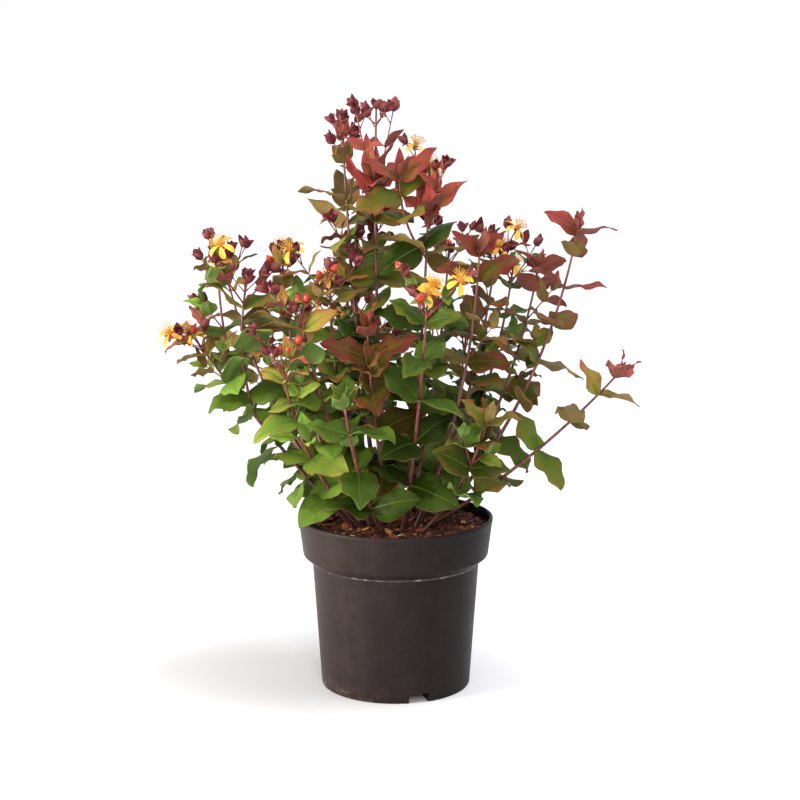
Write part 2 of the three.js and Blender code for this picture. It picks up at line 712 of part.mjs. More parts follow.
// A leaf that would touch another one, a limb or the pot is turned up or down, then made smaller.
// On its own twig only the part beyond its stalk has to be clear.
function fittedLeaf(leaf, owner) {
  for (const { lift, scale } of LEAF_TRIES) {
    const along = leaf.along.clone().addScaledVector(leaf.face, lift).normalize();
    const face = leaf.face.clone().addScaledVector(along, -leaf.face.dot(along)).normalize();
    const fitted = { ...leaf, along, face, length: leaf.length * scale };
    const solid = leafSolid(fitted, -LEAF_SINK);
    const isFree = isClear(leafSolid(fitted, LEAF_STALK), (other) => other.owner === owner)
      && isClear(solid, (other) => other.owner !== owner);
    if (isFree) return solid;
  }
  return null;
}

// Materials and meshes

function named(name, geometry, colour, roughness) {
  const material = new THREE.MeshStandardMaterial({ color: colour, roughness });
  const mesh = new THREE.Mesh(geometry, material);
  mesh.name = name;
  return mesh;
}

function potSolid() {
  const lipInner = RIM_RADIUS - LIP_WALL;
  const outline = [
    [0, 0],
    [FOOT_RADIUS - EDGE_ROUNDING, 0],
    [FOOT_RADIUS, EDGE_ROUNDING],
    [BODY_TOP_RADIUS, BODY_TOP_HEIGHT],
    [COLLAR_FOOT_RADIUS, COLLAR_FOOT_HEIGHT],
    [RIM_RADIUS, POT_HEIGHT - EDGE_ROUNDING],
    [RIM_RADIUS - EDGE_ROUNDING, POT_HEIGHT],
    [lipInner + EDGE_ROUNDING, POT_HEIGHT],
    [lipInner, POT_HEIGHT - EDGE_ROUNDING],
    [lipInner, POT_HEIGHT - LIP_HEIGHT],
    [innerRadius(POT_HEIGHT - 2 * LIP_HEIGHT), POT_HEIGHT - 2 * LIP_HEIGHT],
    [innerRadius(COLLAR_FOOT_HEIGHT), COLLAR_FOOT_HEIGHT],
    [innerRadius(BODY_TOP_HEIGHT), BODY_TOP_HEIGHT],
    [innerRadius(FLOOR_THICKNESS), FLOOR_THICKNESS],
    [0, FLOOR_THICKNESS],
  ].map(([radius, height]) => new THREE.Vector2(radius, height));
  const lathe = new THREE.LatheGeometry(outline, POT_SIDES);
  lathe.rotateX(Math.PI / 2);
  let pot = toSolid(lathe);
  const notchLength = FOOT_RADIUS - NOTCH_REACH + NOTCH_PAST_WALL;
  for (let place = 0; place < NOTCH_COUNT; place += 1) {
    const bearing = FIRST_NOTCH_BEARING + (place * 360) / NOTCH_COUNT;
    const notch = new THREE.BoxGeometry(notchLength, NOTCH_WIDTH, 2 * NOTCH_HEIGHT);
    notch.translate(NOTCH_REACH + notchLength / 2, 0, 0);
    notch.rotateZ(THREE.MathUtils.degToRad(bearing));
    pot = pot.subtract(toSolid(notch));
  }
  return pot;
}

// The inside radius of the pot's wall at a height.
function innerRadius(height) {
  if (height >= COLLAR_FOOT_HEIGHT) {
    const share = (height - COLLAR_FOOT_HEIGHT) / (POT_HEIGHT - COLLAR_FOOT_HEIGHT);
    return mix(COLLAR_FOOT_RADIUS, RIM_RADIUS, share) - WALL;
  }
  if (height >= BODY_TOP_HEIGHT) {
    const share = (height - BODY_TOP_HEIGHT) / (COLLAR_FOOT_HEIGHT - BODY_TOP_HEIGHT);
    return mix(BODY_TOP_RADIUS, COLLAR_FOOT_RADIUS, share) - WALL;
  }
  return mix(FOOT_RADIUS, BODY_TOP_RADIUS, height / BODY_TOP_HEIGHT) - WALL;
}

function soilSolid() {
  const outline = [
    [0, FLOOR_THICKNESS + GAP],
    [innerRadius(FLOOR_THICKNESS) - SOIL_CLEARANCE, FLOOR_THICKNESS + GAP],
    [innerRadius(BODY_TOP_HEIGHT) - SOIL_CLEARANCE, BODY_TOP_HEIGHT],
    [innerRadius(COLLAR_FOOT_HEIGHT) - 2 * SOIL_CLEARANCE, COLLAR_FOOT_HEIGHT],
    [innerRadius(SOIL_LEVEL) - SOIL_CLEARANCE, SOIL_LEVEL],
    [0, SOIL_LEVEL],
  ].map(([radius, height]) => new THREE.Vector2(radius, height));
  const lathe = new THREE.LatheGeometry(outline, SOIL_SIDES);
  lathe.rotateX(Math.PI / 2);
  return toSolid(lathe);
}

const plant = new THREE.Group();

const pot = setPlace(potSolid(), 'pot');
plant.add(named('pot', toGeometry(pot), POT_COLOUR, POT_ROUGHNESS));
const soil = setPlace(soilSolid(), 'soil');
plant.add(named('soil', toGeometry(soil), SOIL_COLOUR, SOIL_ROUGHNESS));

const growth = growPlant();

for (const shoot of growth) {
  shoot.stem = setPlace(stemSolid(shoot.bough), `stem_${shoot.name}`);
  shoot.pieces = [tube(shoot.axis.points, shoot.axis.radii, TWIG_SIDES)];
  setPlace(shoot.pieces[0], shoot.name);
}

for (const shoot of growth) {
  for (const twig of shoot.plan.twigs) {
    const solid = tube(twig.points, twig.radii, TWIG_SIDES);
    if (isClear(solid, (other) => other.owner !== shoot.name)) {
      shoot.pieces.push(setPlace(solid, shoot.name));
    }
  }
  for (const bloom of shoot.plan.blooms) {
    const solid = bloomSolid(bloom);
    if (isClear(solid, (other) => other.owner !== shoot.name || other.kind === 'bloom')) {
      shoot.pieces.push(setPlace(solid, shoot.name, 'bloom'));
    }
  }
}

for (const shoot of growth) {
  for (const leaf of shoot.plan.leaves) {
    const solid = fittedLeaf(leaf, shoot.name);
    if (solid) shoot.pieces.push(setPlace(solid, shoot.name));
  }
  const mass = joined(shoot.pieces);
  const leafColour = GREEN_LEAF.clone().lerp(RED_LEAF, FULL_TINT * shoot.tint);
  const stem = toGeometry(shoot.stem);
  plant.add(named(`stem_${shoot.name}`, stem, STEM_COLOUR, STEM_ROUGHNESS));
  plant.add(named(`foliage_${shoot.name}`, toGeometry(mass), leafColour, LEAF_ROUGHNESS));
}

export default plant;
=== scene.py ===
# The looks of a potted st johns wort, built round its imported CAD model.
# Plant measures are in millimetres, as in the model's own source, and turn to metres when a
# mesh is made. +Z is up, -Y is the front and the origin is the centre of the pot's underside.

import math

import bpy
import numpy as np
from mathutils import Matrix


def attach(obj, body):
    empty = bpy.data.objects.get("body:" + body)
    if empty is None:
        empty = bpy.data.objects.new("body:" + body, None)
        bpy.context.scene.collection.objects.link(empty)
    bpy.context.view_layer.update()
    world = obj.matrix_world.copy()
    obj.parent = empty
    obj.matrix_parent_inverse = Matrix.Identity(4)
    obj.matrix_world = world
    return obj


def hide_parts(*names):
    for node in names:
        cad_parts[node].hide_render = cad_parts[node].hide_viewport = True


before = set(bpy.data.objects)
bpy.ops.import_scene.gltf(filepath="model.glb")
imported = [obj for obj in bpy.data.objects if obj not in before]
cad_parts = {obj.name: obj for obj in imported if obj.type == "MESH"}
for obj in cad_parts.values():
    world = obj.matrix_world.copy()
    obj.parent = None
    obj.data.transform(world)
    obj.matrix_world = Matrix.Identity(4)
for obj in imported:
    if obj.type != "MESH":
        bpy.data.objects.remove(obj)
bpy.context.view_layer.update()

MM = 0.001
BODY = "root"
UV_NAME = "OFBake"
UP = np.array([0.0, 0.0, 1.0])
SUNNY_SIDE = np.array([0.0, -1.0, 0.0])
FULL_TURN = 2 * math.pi

# Camera, lights and floor, in metres
CAMERA_PLACE = (0.0042, -1.7084, 0.5771)
CAMERA_PITCH = -9.796  # degrees from level
CAMERA_LENS = 80.604
SENSOR_WIDTH = 36.0
SUN_PLACE = (0.8, 0.0, 1.85)
SUN_STRENGTH = 2.8
SUN_SOFTNESS = 40  # degrees
LAMP_COLOUR = (1.0, 0.93, 0.8)
LAMPS = {
    "left": {"place": (-1.9, -0.8, 0.5), "target": (0, 0, 0.35), "size": 0.7, "energy": 70},
    "front": {"place": (0.2, -2.4, 1.2), "target": (0, 0, 0.38), "size": 0.9, "energy": 36},
}
FLOOR_SIZE = 200
FLOOR_COLOUR = "cccdd2"

# Pot
POT_HEIGHT = 168
RIM_RADIUS = 95
COLLAR_FOOT_RADIUS = 90.5
COLLAR_FOOT_HEIGHT = 131
BODY_TOP_RADIUS = 81.5
BODY_TOP_HEIGHT = 123.5
FOOT_RADIUS = 73
WALL = 2.2
LIP_WALL = 3.4
LIP_HEIGHT = 5
LIP_OVERHANG = 0.5
FLOOR_THICKNESS = 13
EDGE_RADIUS = 1.6
EDGE_STEPS = 4
POT_SIDES = 192
AXIS_RADIUS = 0.02  # of the ring that closes a turned shape
SMOOTH_BELOW = 40  # degrees between two faces
SCUFF_REACH = 0.9  # above and below the ledge under the collar
EARTH_HEIGHT = 16  # up to which specks of earth cling to the foot
NOTCH_COUNT = 3
NOTCH_WIDTH = 20
NOTCH_HEIGHT = 9
NOTCH_REACH = 34
NOTCH_OVERCUT = 10
FIRST_NOTCH_BEARING = -72

# Soil
SOIL_LEVEL = 157
SOIL_RINGS = 26
SOIL_SIDES = 96
SOIL_GRIT = 1.8
SOIL_CLEARANCE = 0.6
SKIRT_CLEARANCE = 0.8
BED_DROP = 0.5  # of the bed below the soil's level, for the chips
BED_CENTRE = 0.01  # radius of the rings that close the bed
MOUND_HEIGHT = 2.2
RIPPLE_HEIGHT = 1.2
CHIP_COUNT = 1500
CHIP_LENGTHS = (1.2, 7.5)  # half lengths, as all sizes of a chip
CHIP_WIDTH_SHARES = (0.35, 0.8)
CHIP_THICKNESSES = (0.5, 1.3)
CHIP_RAGGEDNESS = 0.35
CHIP_BEND = 0.06
CHIP_LEAN = 0.5
CHIP_DARKNESS = 1.6  # above 1 there are more dark chips than pale ones
FIBRE_COUNT = 260
FIBRE_LENGTHS = (6, 13)
FIBRE_WIDTH = 0.35
FIBRE_THICKNESS = 0.3
CHIP_COLOURS = {
    "chip_dark": ("140805", "2c130b"),
    "chip_brown": ("280e07", "4e2113"),
    "chip_red": ("40150a", "74311a"),
    "chip_orange": ("6c2e12", "a85828"),
    "chip_pale": ("85502f", "cf9a66"),
}
LOAM_COLOURS = ("110806", "2c1810")

# Stems
GAP = 0.3
FOOT_STEM_RADIUS = 2.1
TOP_STEM_RADIUS = 0.95
FLARE = 0.5
FLARE_HEIGHT = 9
STEM_STEP = 4.5  # between the rings of a stem's mesh
STEM_SIDES = 10
STEM_RIDGE = 0.12  # height of the two lines along a stem, in radii
TWIG_SIDES = 6
WOODY_HEIGHT = 235  # below it the stems turn to brown bark
WOODY_COLOUR = "2c1a13"

# Leaves
NODE_SPACING = 39
TIP_CROWDING = 1.25
OLD_LEAF_LENGTH = 54
YOUNG_LEAF_LENGTH = 35
LEAFY_TIP_LENGTH = 46
OLD_LEAF_WIDTH = 0.66
YOUNG_LEAF_WIDTH = 0.46
OLD_SPREAD = 78
YOUNG_SPREAD = 58
LEAF_ROLL = 34
LEAF_SHARES = (0.86, 1.1)
YOUNG_LEAF_LIFT = 0.1
OLD_LEAF_LIFT = -0.12
FACE_ALONG_STEM = 0.5
FACE_UPWARD = 0.65
FACE_OUTWARD = 0.4
GROWTH_PACE = 1.6
OPENING_PACE = 2
TURN_SWAY = 0.25
SPREAD_SWAY = 9
LEAST_PAIRS = 3
FIRST_PAIR_RISE = 0.03
FORK_BARE = 0.12
LAST_PAIR_BACK = 4
AXIL_RISE = 5
ROSETTE_LEAVES = 8
ROSETTE_LEAF_LENGTH = 52
ROSETTE_LEAF_WIDTH = 0.3
ROSETTE_SPREADS = (18, 52)
ROSETTE_SHARES = (0.85, 1.1)
ROSETTE_ROLL = 25
REDDENING = 1.25  # above 1 the red keeps to the upper end of a limb
# Partly the young leaves' own paler colour and partly painted light and shade, which darkens the
# low leaves as in the crown's shade.
YOUTH_AND_PAINTED_LIGHT = 0.34  # how much paler the leaves at the tip of a limb are than at its foot

# Finer twigs in the leaf axils, and the narrow leaves that close a stem with no flowers
AXIL_TWIG_CHANCES = (0.45, 0.0)  # low on a limb and high on it
AXIL_VIGOUR = 4  # above 1 a weak limb has far fewer of them
AXIL_TWIG_LENGTHS = (16, 38)
AXIL_TWIG_ANGLE = 38
AXIL_TWIG_LIFT = 0.15
AXIL_TWIG_RISE = 0.6
AXIL_PAIRS = (
    {"at": 0.62, "spread": 58, "length": 29, "width": 0.58},
    {"at": 0.98, "spread": 34, "length": 21, "width": 0.5},
)
AXIL_LEAF_SHARES = (0.8, 1.2)
AXIL_LEAF_AGE = 0.25
AXIL_LEAF_ROLL = 40
CROWN_PAIRS = ({"spread": 26, "length": 28}, {"spread": 12, "length": 18})
CROWN_LEAF_WIDTH = 0.34
CROWN_LEAF_SHARES = (0.85, 1.1)
CROWN_LEAF_ROLL = 20

# Heads of flowers, berries and buds
FLOWER_NOD = 0.5
FLOWER_ALONG_STALK = 0.4
FLOWER_UPWARD = 0.2
FLOWER_SUNWARD = 0.6  # every flower also turns a little to the sunny front
FLOWER_LIFT = 0.55  # how much its brush of stamens looks further up
PEDICEL_LENGTH = 20
PEDICEL_RADIUS = 0.7
PEDICEL_ANGLES = (34, 60)
PEDICEL_SHARES = (0.8, 1.25)
PEDICEL_LIFT = 0.2
PEDICEL_BOW = 0.06
FINE_ANGLES = (26, 50)
FINE_SHARES = (0.55, 0.95)
FINE_FOOT_SPREAD = 0.3
FINE_BERRY_CHANCE = 0.15
BRACT_CHANCE = 0.6
BRACT_LENGTHS = (6, 9)
BRACT_WIDTH = 0.3
BRACT_SPREAD = 35
BRACT_TINT = 0.75
BRACT_FRESHNESS = 0.5
HEAD_DEPTH = 0.7
SIDE_BRANCH_LENGTH = 46
SIDE_BRANCH_SHARES = (0.75, 1.15)
SIDE_BRANCH_RISE = 0.6
SIDE_BRANCH_ANGLE = 46
SIDE_BRANCH_LIFT = 0.12
SIDE_BRANCH_BOW = 0.05
SIDE_PAIR_AT = 0.55
SIDE_PAIR_SPREAD = 55
SIDE_PAIR_AGE = 0.2
SIDE_LEAF_LENGTH = 25
SIDE_SEED_STEP = 31
# The bloom on the limb's own end, the two on stalks round it, and the two on side branches.
HEAD_KINDS = {
    "buds": ("bud", "bud", "bud", "bud", "bud"),
    "berries": ("berry", "bud", "berry", "bud", "berry"),
    "flowers": ("flower", "berry", "flower", "flower", "berry"),
    "mixed": ("flower", "bud", "berry", "flower", "bud"),
}

# The stems and their side limbs, as in the model's source. foot is a bearing and a distance in
# the soil, or for a side limb its stem and the share of it where the limb starts. The last field
# is how yellow-green and bright the leaves are, from 0, deep, to 1: partly their own colour and
# partly painted light and shade, brighter on the lit left and darker low in the crown's middle.
SHOOT_FIELDS = ("name", "tip", "foot", "belly", "bare", "tint", "head", "neck", "seed", "fresh")
SHOOTS = (
    ("top_main", (-18, -10, 560), (245, 10), 6, 0.34, 1, "buds", 66, 62, 0.5),
    ("top_fork", (-50, 0, 534), (165, 16), 4, 0.36, 0.92, "buds", 0, 268, 0.52),
    ("top_left", (-37, 22, 436), (146, 27), 8, 0.34, 0.82, "berries", 0, 435, 0.7),
    ("top_right", (32, -27, 506), (325, 12), 4, 0.32, 0.8, "mixed", 30, 91, 0.5),
    ("front", (29, -112, 396), (282, 30), 9, 0.2, 0.2, "flowers", 0, 234, 0.16),
    ("right_inner", (78, -42, 429), (318, 24), 14, 0.26, 1.0, "leaves", 0, 65, 0.2),
    ("right_cluster", (97, 20, 427), (12, 24), 12, 0.36, 1, "mixed", 0, 414, 0.3),
    ("right_mid", (139, 32, 407), (8, 40), 14, 0.34, 0.95, "leaves", 0, 232, 0.35),
    ("right_high", (172, -10, 446), (352, 36), 22, 0.3, 1, "leaves", 0, 51, 0.45),
    ("right_low", (210, -32, 312), (338, 30), 9, 0.34, 0.9, "leaves", 0, 260, 0.45),
    ("left_front", (-106, -70, 337), (222, 38), 18, 0.22, 0.7, "berries", 0, 78, 0.76),
    ("left_low", (-192, -32, 350), (197, 42), 4, 0.24, 0.8, "mixed", 0, 199, 0.74),
    ("left_back", (-111, 46, 412), (172, 34), 20, 0.26, 0.6, "mixed", 0, 282, 0.84),
    ("mid_left", (-62, -24, 402), (196, 25), 10, 0.26, 0.6, "mixed", 0, 18, 0.76),
    ("mid_front", (-89, -62, 382), (238, 26), 12, 0.24, 0.78, "berries", 0, 89, 0.78),
    ("mid_maroon", (-26, -72, 358), (262, 26), 6, 0.28, 0.95, "leaves", 0, 280, 0.14),
    ("low_right", (84, -88, 276), (306, 40), 10, 0.4, 0.55, "leaves", 0, 466, 0.2),
    ("low_left", (-46, -118, 299), (258, 44), 12, 0.24, 0.2, "leaves", 0, 452, 0.18),
)
FORKS = (
    ("left_maroon", (-139, -30, 404), ("left_low", 0.6), 12, FORK_BARE, 1, "buds", 0, 2, 0.58),
    ("left_high", (-167, -20, 425), ("left_low", 0.66), 8, FORK_BARE, 0.55, "mixed", 0, 427, 0.78),
    ("top_spur", (4, -36, 499), ("top_right", 0.76), 8, FORK_BARE, 1, "leaves", 0, 243, 0.42),
)
# How large the leaves of some stems are beside the usual ones.
VIGOUR = {
    "right_inner": 0.88, "right_cluster": 0.8, "right_mid": 0.8, "right_high": 0.9,
    "right_low": 0.9, "low_right": 0.85,
}
# How red the lowest leaves of some stems are beside the highest ones.
BLUSH = {
    "front": 0.3, "right_inner": 0.3, "right_cluster": 0.25, "right_mid": 0.35,
    "right_high": 0.35, "right_low": 0.35, "mid_left": 0.2, "mid_front": 0.15,
    "mid_maroon": 0.35, "low_right": 0.35,
}
# How much of the usual chance of finer twigs some stems have.
TWIGGINESS = {"top_main": 0, "top_fork": 0, "top_left": 0.3}
BACK_RINGS = (
    {"name": "back", "from": 44, "to": 158, "reach": 172, "height": 372, "foot": 44,
     "belly": 20, "bare": 0.2, "seeds": (229, 27, 29, 465, 4, 469, 441, 438)},
    {"name": "inner", "from": 58, "to": 122, "reach": 84, "height": 440, "foot": 22,
     "belly": 12, "bare": 0.3, "seeds": (52, 396)},
)
RING_REACH_SWAY = 26
RING_HEIGHT_SWAY = 60
RING_FRESHNESS = (0.15, 0.75)
RING_HEADS = ("mixed", "berries", "leaves", "buds")

# Leaf blades. A pair of values is for a young leaf and an old one, or the least and the most.
LEAF_ROWS = 15
LEAF_COLUMNS = (1.0, 0.95, 0.8, 0.56, 0.3, 0.05)  # shares of the half width, margin to rib
LEAF_BODY = 0.5  # between the two sides of a leaf
LEAVES_IN_PIECE = 300
STANDARD_LENGTH = 50  # of the leaf that the next sizes are for
LEAF_WAVES = (1.7, 4.9)
LEAF_WAVE_TURNS = (1.2, 2.6)
LEAF_QUILT = 0.26
LEAF_STALK = 0.7
RIB_HALF_WIDTH = 0.45
VEIN_SLANT = 0.11
LEAF_FOLDS = (0.34, 0.2)
FOLD_SWAY = 0.1
LEAF_CURL = 0.24
CURL_SWAY = 0.16
LEAF_RISES = (0.12, 0.3)
RISE_SWAY = 0.12
LEAF_DROOPS = (0.3, 0.85)
DROOP_SWAY = 0.25
LEAF_HOOKS = (0.15, 1.1)
TWIST_SWAY = 0.7
BEND_STEPS = 40

# Leaf colours. A tint goes from 0, green, by 1, bronze, to 2, maroon, and a shade from 0, deep,
# to 1, bright. Each step of the two is one plain colour.
TINT_STEPS = 9
SHADE_STEPS = 9
DEEP_COLOURS = ("1f2b06", "2f2908", "401213")
BRIGHT_COLOURS = ("779a3c", "918138", "a84e44")
DETAIL_STEPS = 3
DETAIL_COLOURS = {
    "rib": ("4c6427", "674d27", "74352e"),
    "margin": ("5c4a20", "744028", "662420"),
    "under": ("62783c", "75623a", "7c483e"),
}
TINT_SPREAD = 2.5
TINT_SHIFT = 0.45
TINT_SWAY = 0.16
SHADE_SWAYS = {12: 0.22, 15: 0.1}
BRONZE_FROM = 0.55
MAROON_FROM = 1.35

# Flowers, berries and buds
BERRY_RADIUS = 3.51
BERRY_LENGTH = 9.5
BERRY_TIP = 9
BERRY_SCALES = (0.85, 1.08)
BERRY_SIDES = 12
BERRY_SEPAL = (9.5, 5.2)
STYLE_COUNT = 3
STYLE_LENGTH = 1.8
STYLE_LEAN = 0.7
BUD_RADIUS = 3.28
BUD_LENGTH = 8.64
BUD_SCALES = (0.86, 1.12)
BUD_SIDES = 10
BUD_SEPALS = 4
BUD_SEPAL = (12.5, 9.4)
BUD_LEANS = (0.7, 1.2)
BUD_GREEN_CHANCE = 0.3
FLOWER_RADIUS = 13
FLOWER_SEPAL = (8.0, 4.8)
PETALS = 5
PETAL_WIDTH = 0.56
PETAL_BENDS = (0.9, 1.7)
PETAL_SWAY = 0.3
DEEP_PETAL_SHARE = 0.25
PETAL_GRID = (9, 7)
SEPALS = 5
SEPAL_GRID = (7, 5)
SEPAL_LENGTH_SHARES = (0.85, 1.12)
SEPAL_WIDTH_SHARES = (0.85, 1.1)
STAMENS = 46
STAMEN_TURN = 2.39996  # radians from one to the next
STAMEN_SPREADS = (0.1, 0.95)
STAMEN_LENGTHS = (8.5, 12.5)
STAMEN_RADII = (0.22, 0.17, 0.15)
ANTHER_PROFILE = ((AXIS_RADIUS, -0.5), (0.55, 0.0), (AXIS_RADIUS, 0.5))
OVARY_RADIUS = 2.4
OVARY_LENGTH = 6.0
BLOOM_COLOURS = {
    "petal": "dfae3a", "petal_deep": "cf9229", "stamen": "d8ac3c", "anther": "c07a24",
    "berry": "a52c12", "berry_base": "bd6a2a", "bud": "5a262c", "sepal": "76413f",
    "sepal_green": "6c6a30", "style": "2e1a12",
}
BLOOM_SHADE = {name: place for place, name in enumerate(BLOOM_COLOURS)}


# Small mathematics

def draw(seed, index):
    """A repeatable number from 0 to 1. The index tells one use of a seed from another."""
    value = math.sin(seed * 12.9898 + index * 78.233) * 43758.5453
    return value - math.floor(value)


def mix(start, end, share):
    return start + (end - start) * share


def drawn(span, seed, index):
    return mix(*span, draw(seed, index))


def sway(seed, index, reach):
    return (draw(seed, index) * 2 - 1) * reach


def unit(vector):
    return vector / np.linalg.norm(vector)


def around_axis(bearing, distance, height):
    angle = math.radians(bearing)
    return np.array([distance * math.cos(angle), distance * math.sin(angle), height])


def outward_at(place):
    return unit(np.array([place[0], place[1], 0.0]))


def turned(vector, axis, angle):
    """The vector turned about an axis by an angle in radians."""
    return (
        vector * math.cos(angle)
        + np.cross(axis, vector) * math.sin(angle)
        + axis * np.dot(axis, vector) * (1 - math.cos(angle))
    )


def sides_of(way):
    """Two directions square to a way."""
    side = unit(np.cross(way, UP)) if abs(way[2]) < 0.999 else np.array([1.0, 0.0, 0.0])
    return side, np.cross(way, side)


def round_way(way, turn):
    """The direction square to a way at a turn round it."""
    side, over = sides_of(way)
    return side * math.cos(turn) + over * math.sin(turn)


class Limb:
    """A limb from its foot to its tip, which hangs outside the straight line."""

    def __init__(self, foot, tip, belly):
        chord = tip - foot
        level = np.array([chord[0], chord[1], 0.0])
        reach = np.linalg.norm(level)
        outward = unit(level / reach * chord[2] - UP * reach)
        self.foot = foot
        self.middle = (foot + tip) / 2 + outward * 2 * belly
        self.tip = tip
        places = np.array([self.point(share / 200) for share in range(201)])
        self.length = float(np.linalg.norm(np.diff(places, axis=0), axis=1).sum())

    def point(self, at):
        back = 1 - at
        return back * back * self.foot + 2 * back * at * self.middle + at * at * self.tip

    def way(self, at):
        return unit((1 - at) * (self.middle - self.foot) + at * (self.tip - self.middle))


# The rule of growth, as in the model's source

def leaf_frame(root, stem_way, turn, spread, age, roll=0.0):
    """The leaf's root on its twig, the way it points and the way its face looks."""
    angle = math.radians(spread)
    lift = mix(YOUNG_LEAF_LIFT, OLD_LEAF_LIFT, age)
    away = round_way(stem_way, turn)
    along = unit(stem_way * math.cos(angle) + away * math.sin(angle) + UP * lift)
    face = stem_way * FACE_ALONG_STEM + UP * FACE_UPWARD + outward_at(root) * FACE_OUTWARD
    face = unit(face - along * np.dot(face, along))
    return root, along, turned(face, along, math.radians(roll))


def add_leaf(plan, placed, length, width, tint, fresh, age, seed, fine=False):
    root, along, face = placed
    plan["leaves"].append({
        "root": root, "along": along, "face": face, "length": length, "width": width,
        "tint": tint, "fresh": fresh, "age": age, "seed": seed, "fine": fine,
    })


def add_bloom(plan, kind, root, stalk_way, seed):
    along = stalk_way
    if kind == "flower":
        nod = outward_at(root) * FLOWER_NOD + UP * FLOWER_UPWARD
        along = unit(stalk_way * FLOWER_ALONG_STALK + nod + SUNNY_SIDE * FLOWER_SUNWARD)
    plan["blooms"].append({"kind": kind, "root": root, "along": along, "seed": seed})


def add_twig(plan, start, end, bow, thickness):
    """A bowed twig, as thick at its foot, middle and end as those shares of a bloom's stalk."""
    points = [start, (start + end) / 2 + bow, end]
    plan["twigs"].append((points, [PEDICEL_RADIUS * share for share in thickness]))


def add_stalk(plan, start, way, turn, angle, length, kind, seed):
    """One bloom on its own stalk, which bends a little upwards and may bear a bract."""
    away = round_way(way, turn)
    along = unit(way * math.cos(angle) + away * math.sin(angle) + UP * PEDICEL_LIFT)
    tip = start + along * length
    bow = unit(along - way * 0.5) * PEDICEL_BOW * length
    add_twig(plan, start, tip, bow, (1, 0.7, 0.9))
    add_bloom(plan, kind, tip, along, seed)
    if draw(seed, 270) < BRACT_CHANCE:
        placed = leaf_frame(mix(start, tip, 0.5) + bow, along, turn, BRACT_SPREAD, 0)
        size = drawn(BRACT_LENGTHS, seed, 271)
        add_leaf(plan, placed, size, BRACT_WIDTH, BRACT_TINT, BRACT_FRESHNESS, 0, seed, fine=True)


def add_head(plan, end, way, kinds, seed, extra):
    """A cluster at a limb's end: one stalk for each kind after the first, as in the source, and
    finer extra ones."""
    add_bloom(plan, kinds[0], end, way, seed)
    start = end - way * HEAD_DEPTH * PEDICEL_LENGTH
    stalks = kinds[1:]
    for stalk, kind in enumerate(stalks):
        turn = stalk / len(stalks) * FULL_TURN + draw(seed, 40 + stalk)
        angle = math.radians(drawn(PEDICEL_ANGLES, seed, 50 + stalk))
        length = PEDICEL_LENGTH * drawn(PEDICEL_SHARES, seed, 60 + stalk)
        add_stalk(plan, start, way, turn, angle, length, kind, seed + 3 * stalk)
    for stalk in range(extra):
        turn = (stalk + 0.5) / extra * FULL_TURN + draw(seed, 40)
        angle = math.radians(drawn(FINE_ANGLES, seed, 240 + stalk))
        length = PEDICEL_LENGTH * drawn(FINE_SHARES, seed, 250 + stalk)
        foot = start - way * PEDICEL_LENGTH * FINE_FOOT_SPREAD * draw(seed, 260 + stalk)
        ripe = "berry" in kinds and draw(seed, 265 + stalk) < FINE_BERRY_CHANCE
        kind = "berry" if ripe else "bud"
        add_stalk(plan, foot, way, turn, angle, length, kind, seed + 5 * stalk + 1)


def add_side_branch(plan, root, stem_way, turn, shoot, kind, seed):
    """A side branch in a leaf's axil, with one pair of small leaves and a bloom on its end."""
    along = leaf_frame(root, stem_way, turn, SIDE_BRANCH_ANGLE, 0)[1]
    length = SIDE_BRANCH_LENGTH * drawn(SIDE_BRANCH_SHARES, seed, 1)
    length += SIDE_BRANCH_RISE * shoot["neck"]
    end = root + along * length + UP * SIDE_BRANCH_LIFT * length
    way = unit(end - root)
    bow = unit(along - stem_way * 0.4) * SIDE_BRANCH_BOW * length
    add_twig(plan, root, end, bow, (1.2, 1.1, 1))
    pair_root = mix(root, end, SIDE_PAIR_AT)
    for opposite in (0, 1):
        pair_turn = turn + math.pi / 2 + opposite * math.pi
        placed = leaf_frame(pair_root, way, pair_turn, SIDE_PAIR_SPREAD, SIDE_PAIR_AGE)
        add_leaf(
            plan, placed, SIDE_LEAF_LENGTH, YOUNG_LEAF_WIDTH, shoot["tint"], shoot["fresh"],
            SIDE_PAIR_AGE, seed + opposite,
        )
    add_head(plan, end, way, (kind,), seed, 1)


def add_rosette(plan, root, stem_way, first_turn, shoot, seed):
    """Narrow upright leaves that crowd round the foot of a long-necked head."""
    for place in range(ROSETTE_LEAVES):
        turn = first_turn + place * FULL_TURN / ROSETTE_LEAVES
        spread = mix(*ROSETTE_SPREADS, place % 2)
        roll = sway(seed, 290 + place, ROSETTE_ROLL)
        placed = leaf_frame(root, stem_way, turn, spread, 0, roll)
        size = ROSETTE_LEAF_LENGTH * drawn(ROSETTE_SHARES, seed, 300 + place)
        add_leaf(plan, placed, size, ROSETTE_LEAF_WIDTH, 1.0, shoot["fresh"], 0, seed + 7 * place)


def add_axil_twig(plan, root, stem_way, turn, shoot, tint, seed):
    """A short finer twig in a leaf's axil, with two pairs of small leaves."""
    along = leaf_frame(root, stem_way, turn, AXIL_TWIG_ANGLE, 0)[1]
    length = drawn(AXIL_TWIG_LENGTHS, seed, 3)
    end = root + along * length + UP * AXIL_TWIG_LIFT * length
    way = unit(end - root)
    add_twig(plan, root, end, 0, (1.1, 1, 0.7))
    for order, pair in enumerate(AXIL_PAIRS):
        pair_root = mix(root, end, pair["at"])
        for opposite in (0, 1):
            number = 2 * order + opposite
            pair_turn = turn + (order + 1) * math.pi / 2 + opposite * math.pi
            roll = sway(seed, 20 + number, AXIL_LEAF_ROLL)
            placed = leaf_frame(pair_root, way, pair_turn, pair["spread"], 0.3, roll)
            size = pair["length"] * drawn(AXIL_LEAF_SHARES, seed, 30 + number)
            add_leaf(
                plan, placed, size, pair["width"], tint, shoot["fresh"], AXIL_LEAF_AGE,
                seed + number, fine=True,
            )


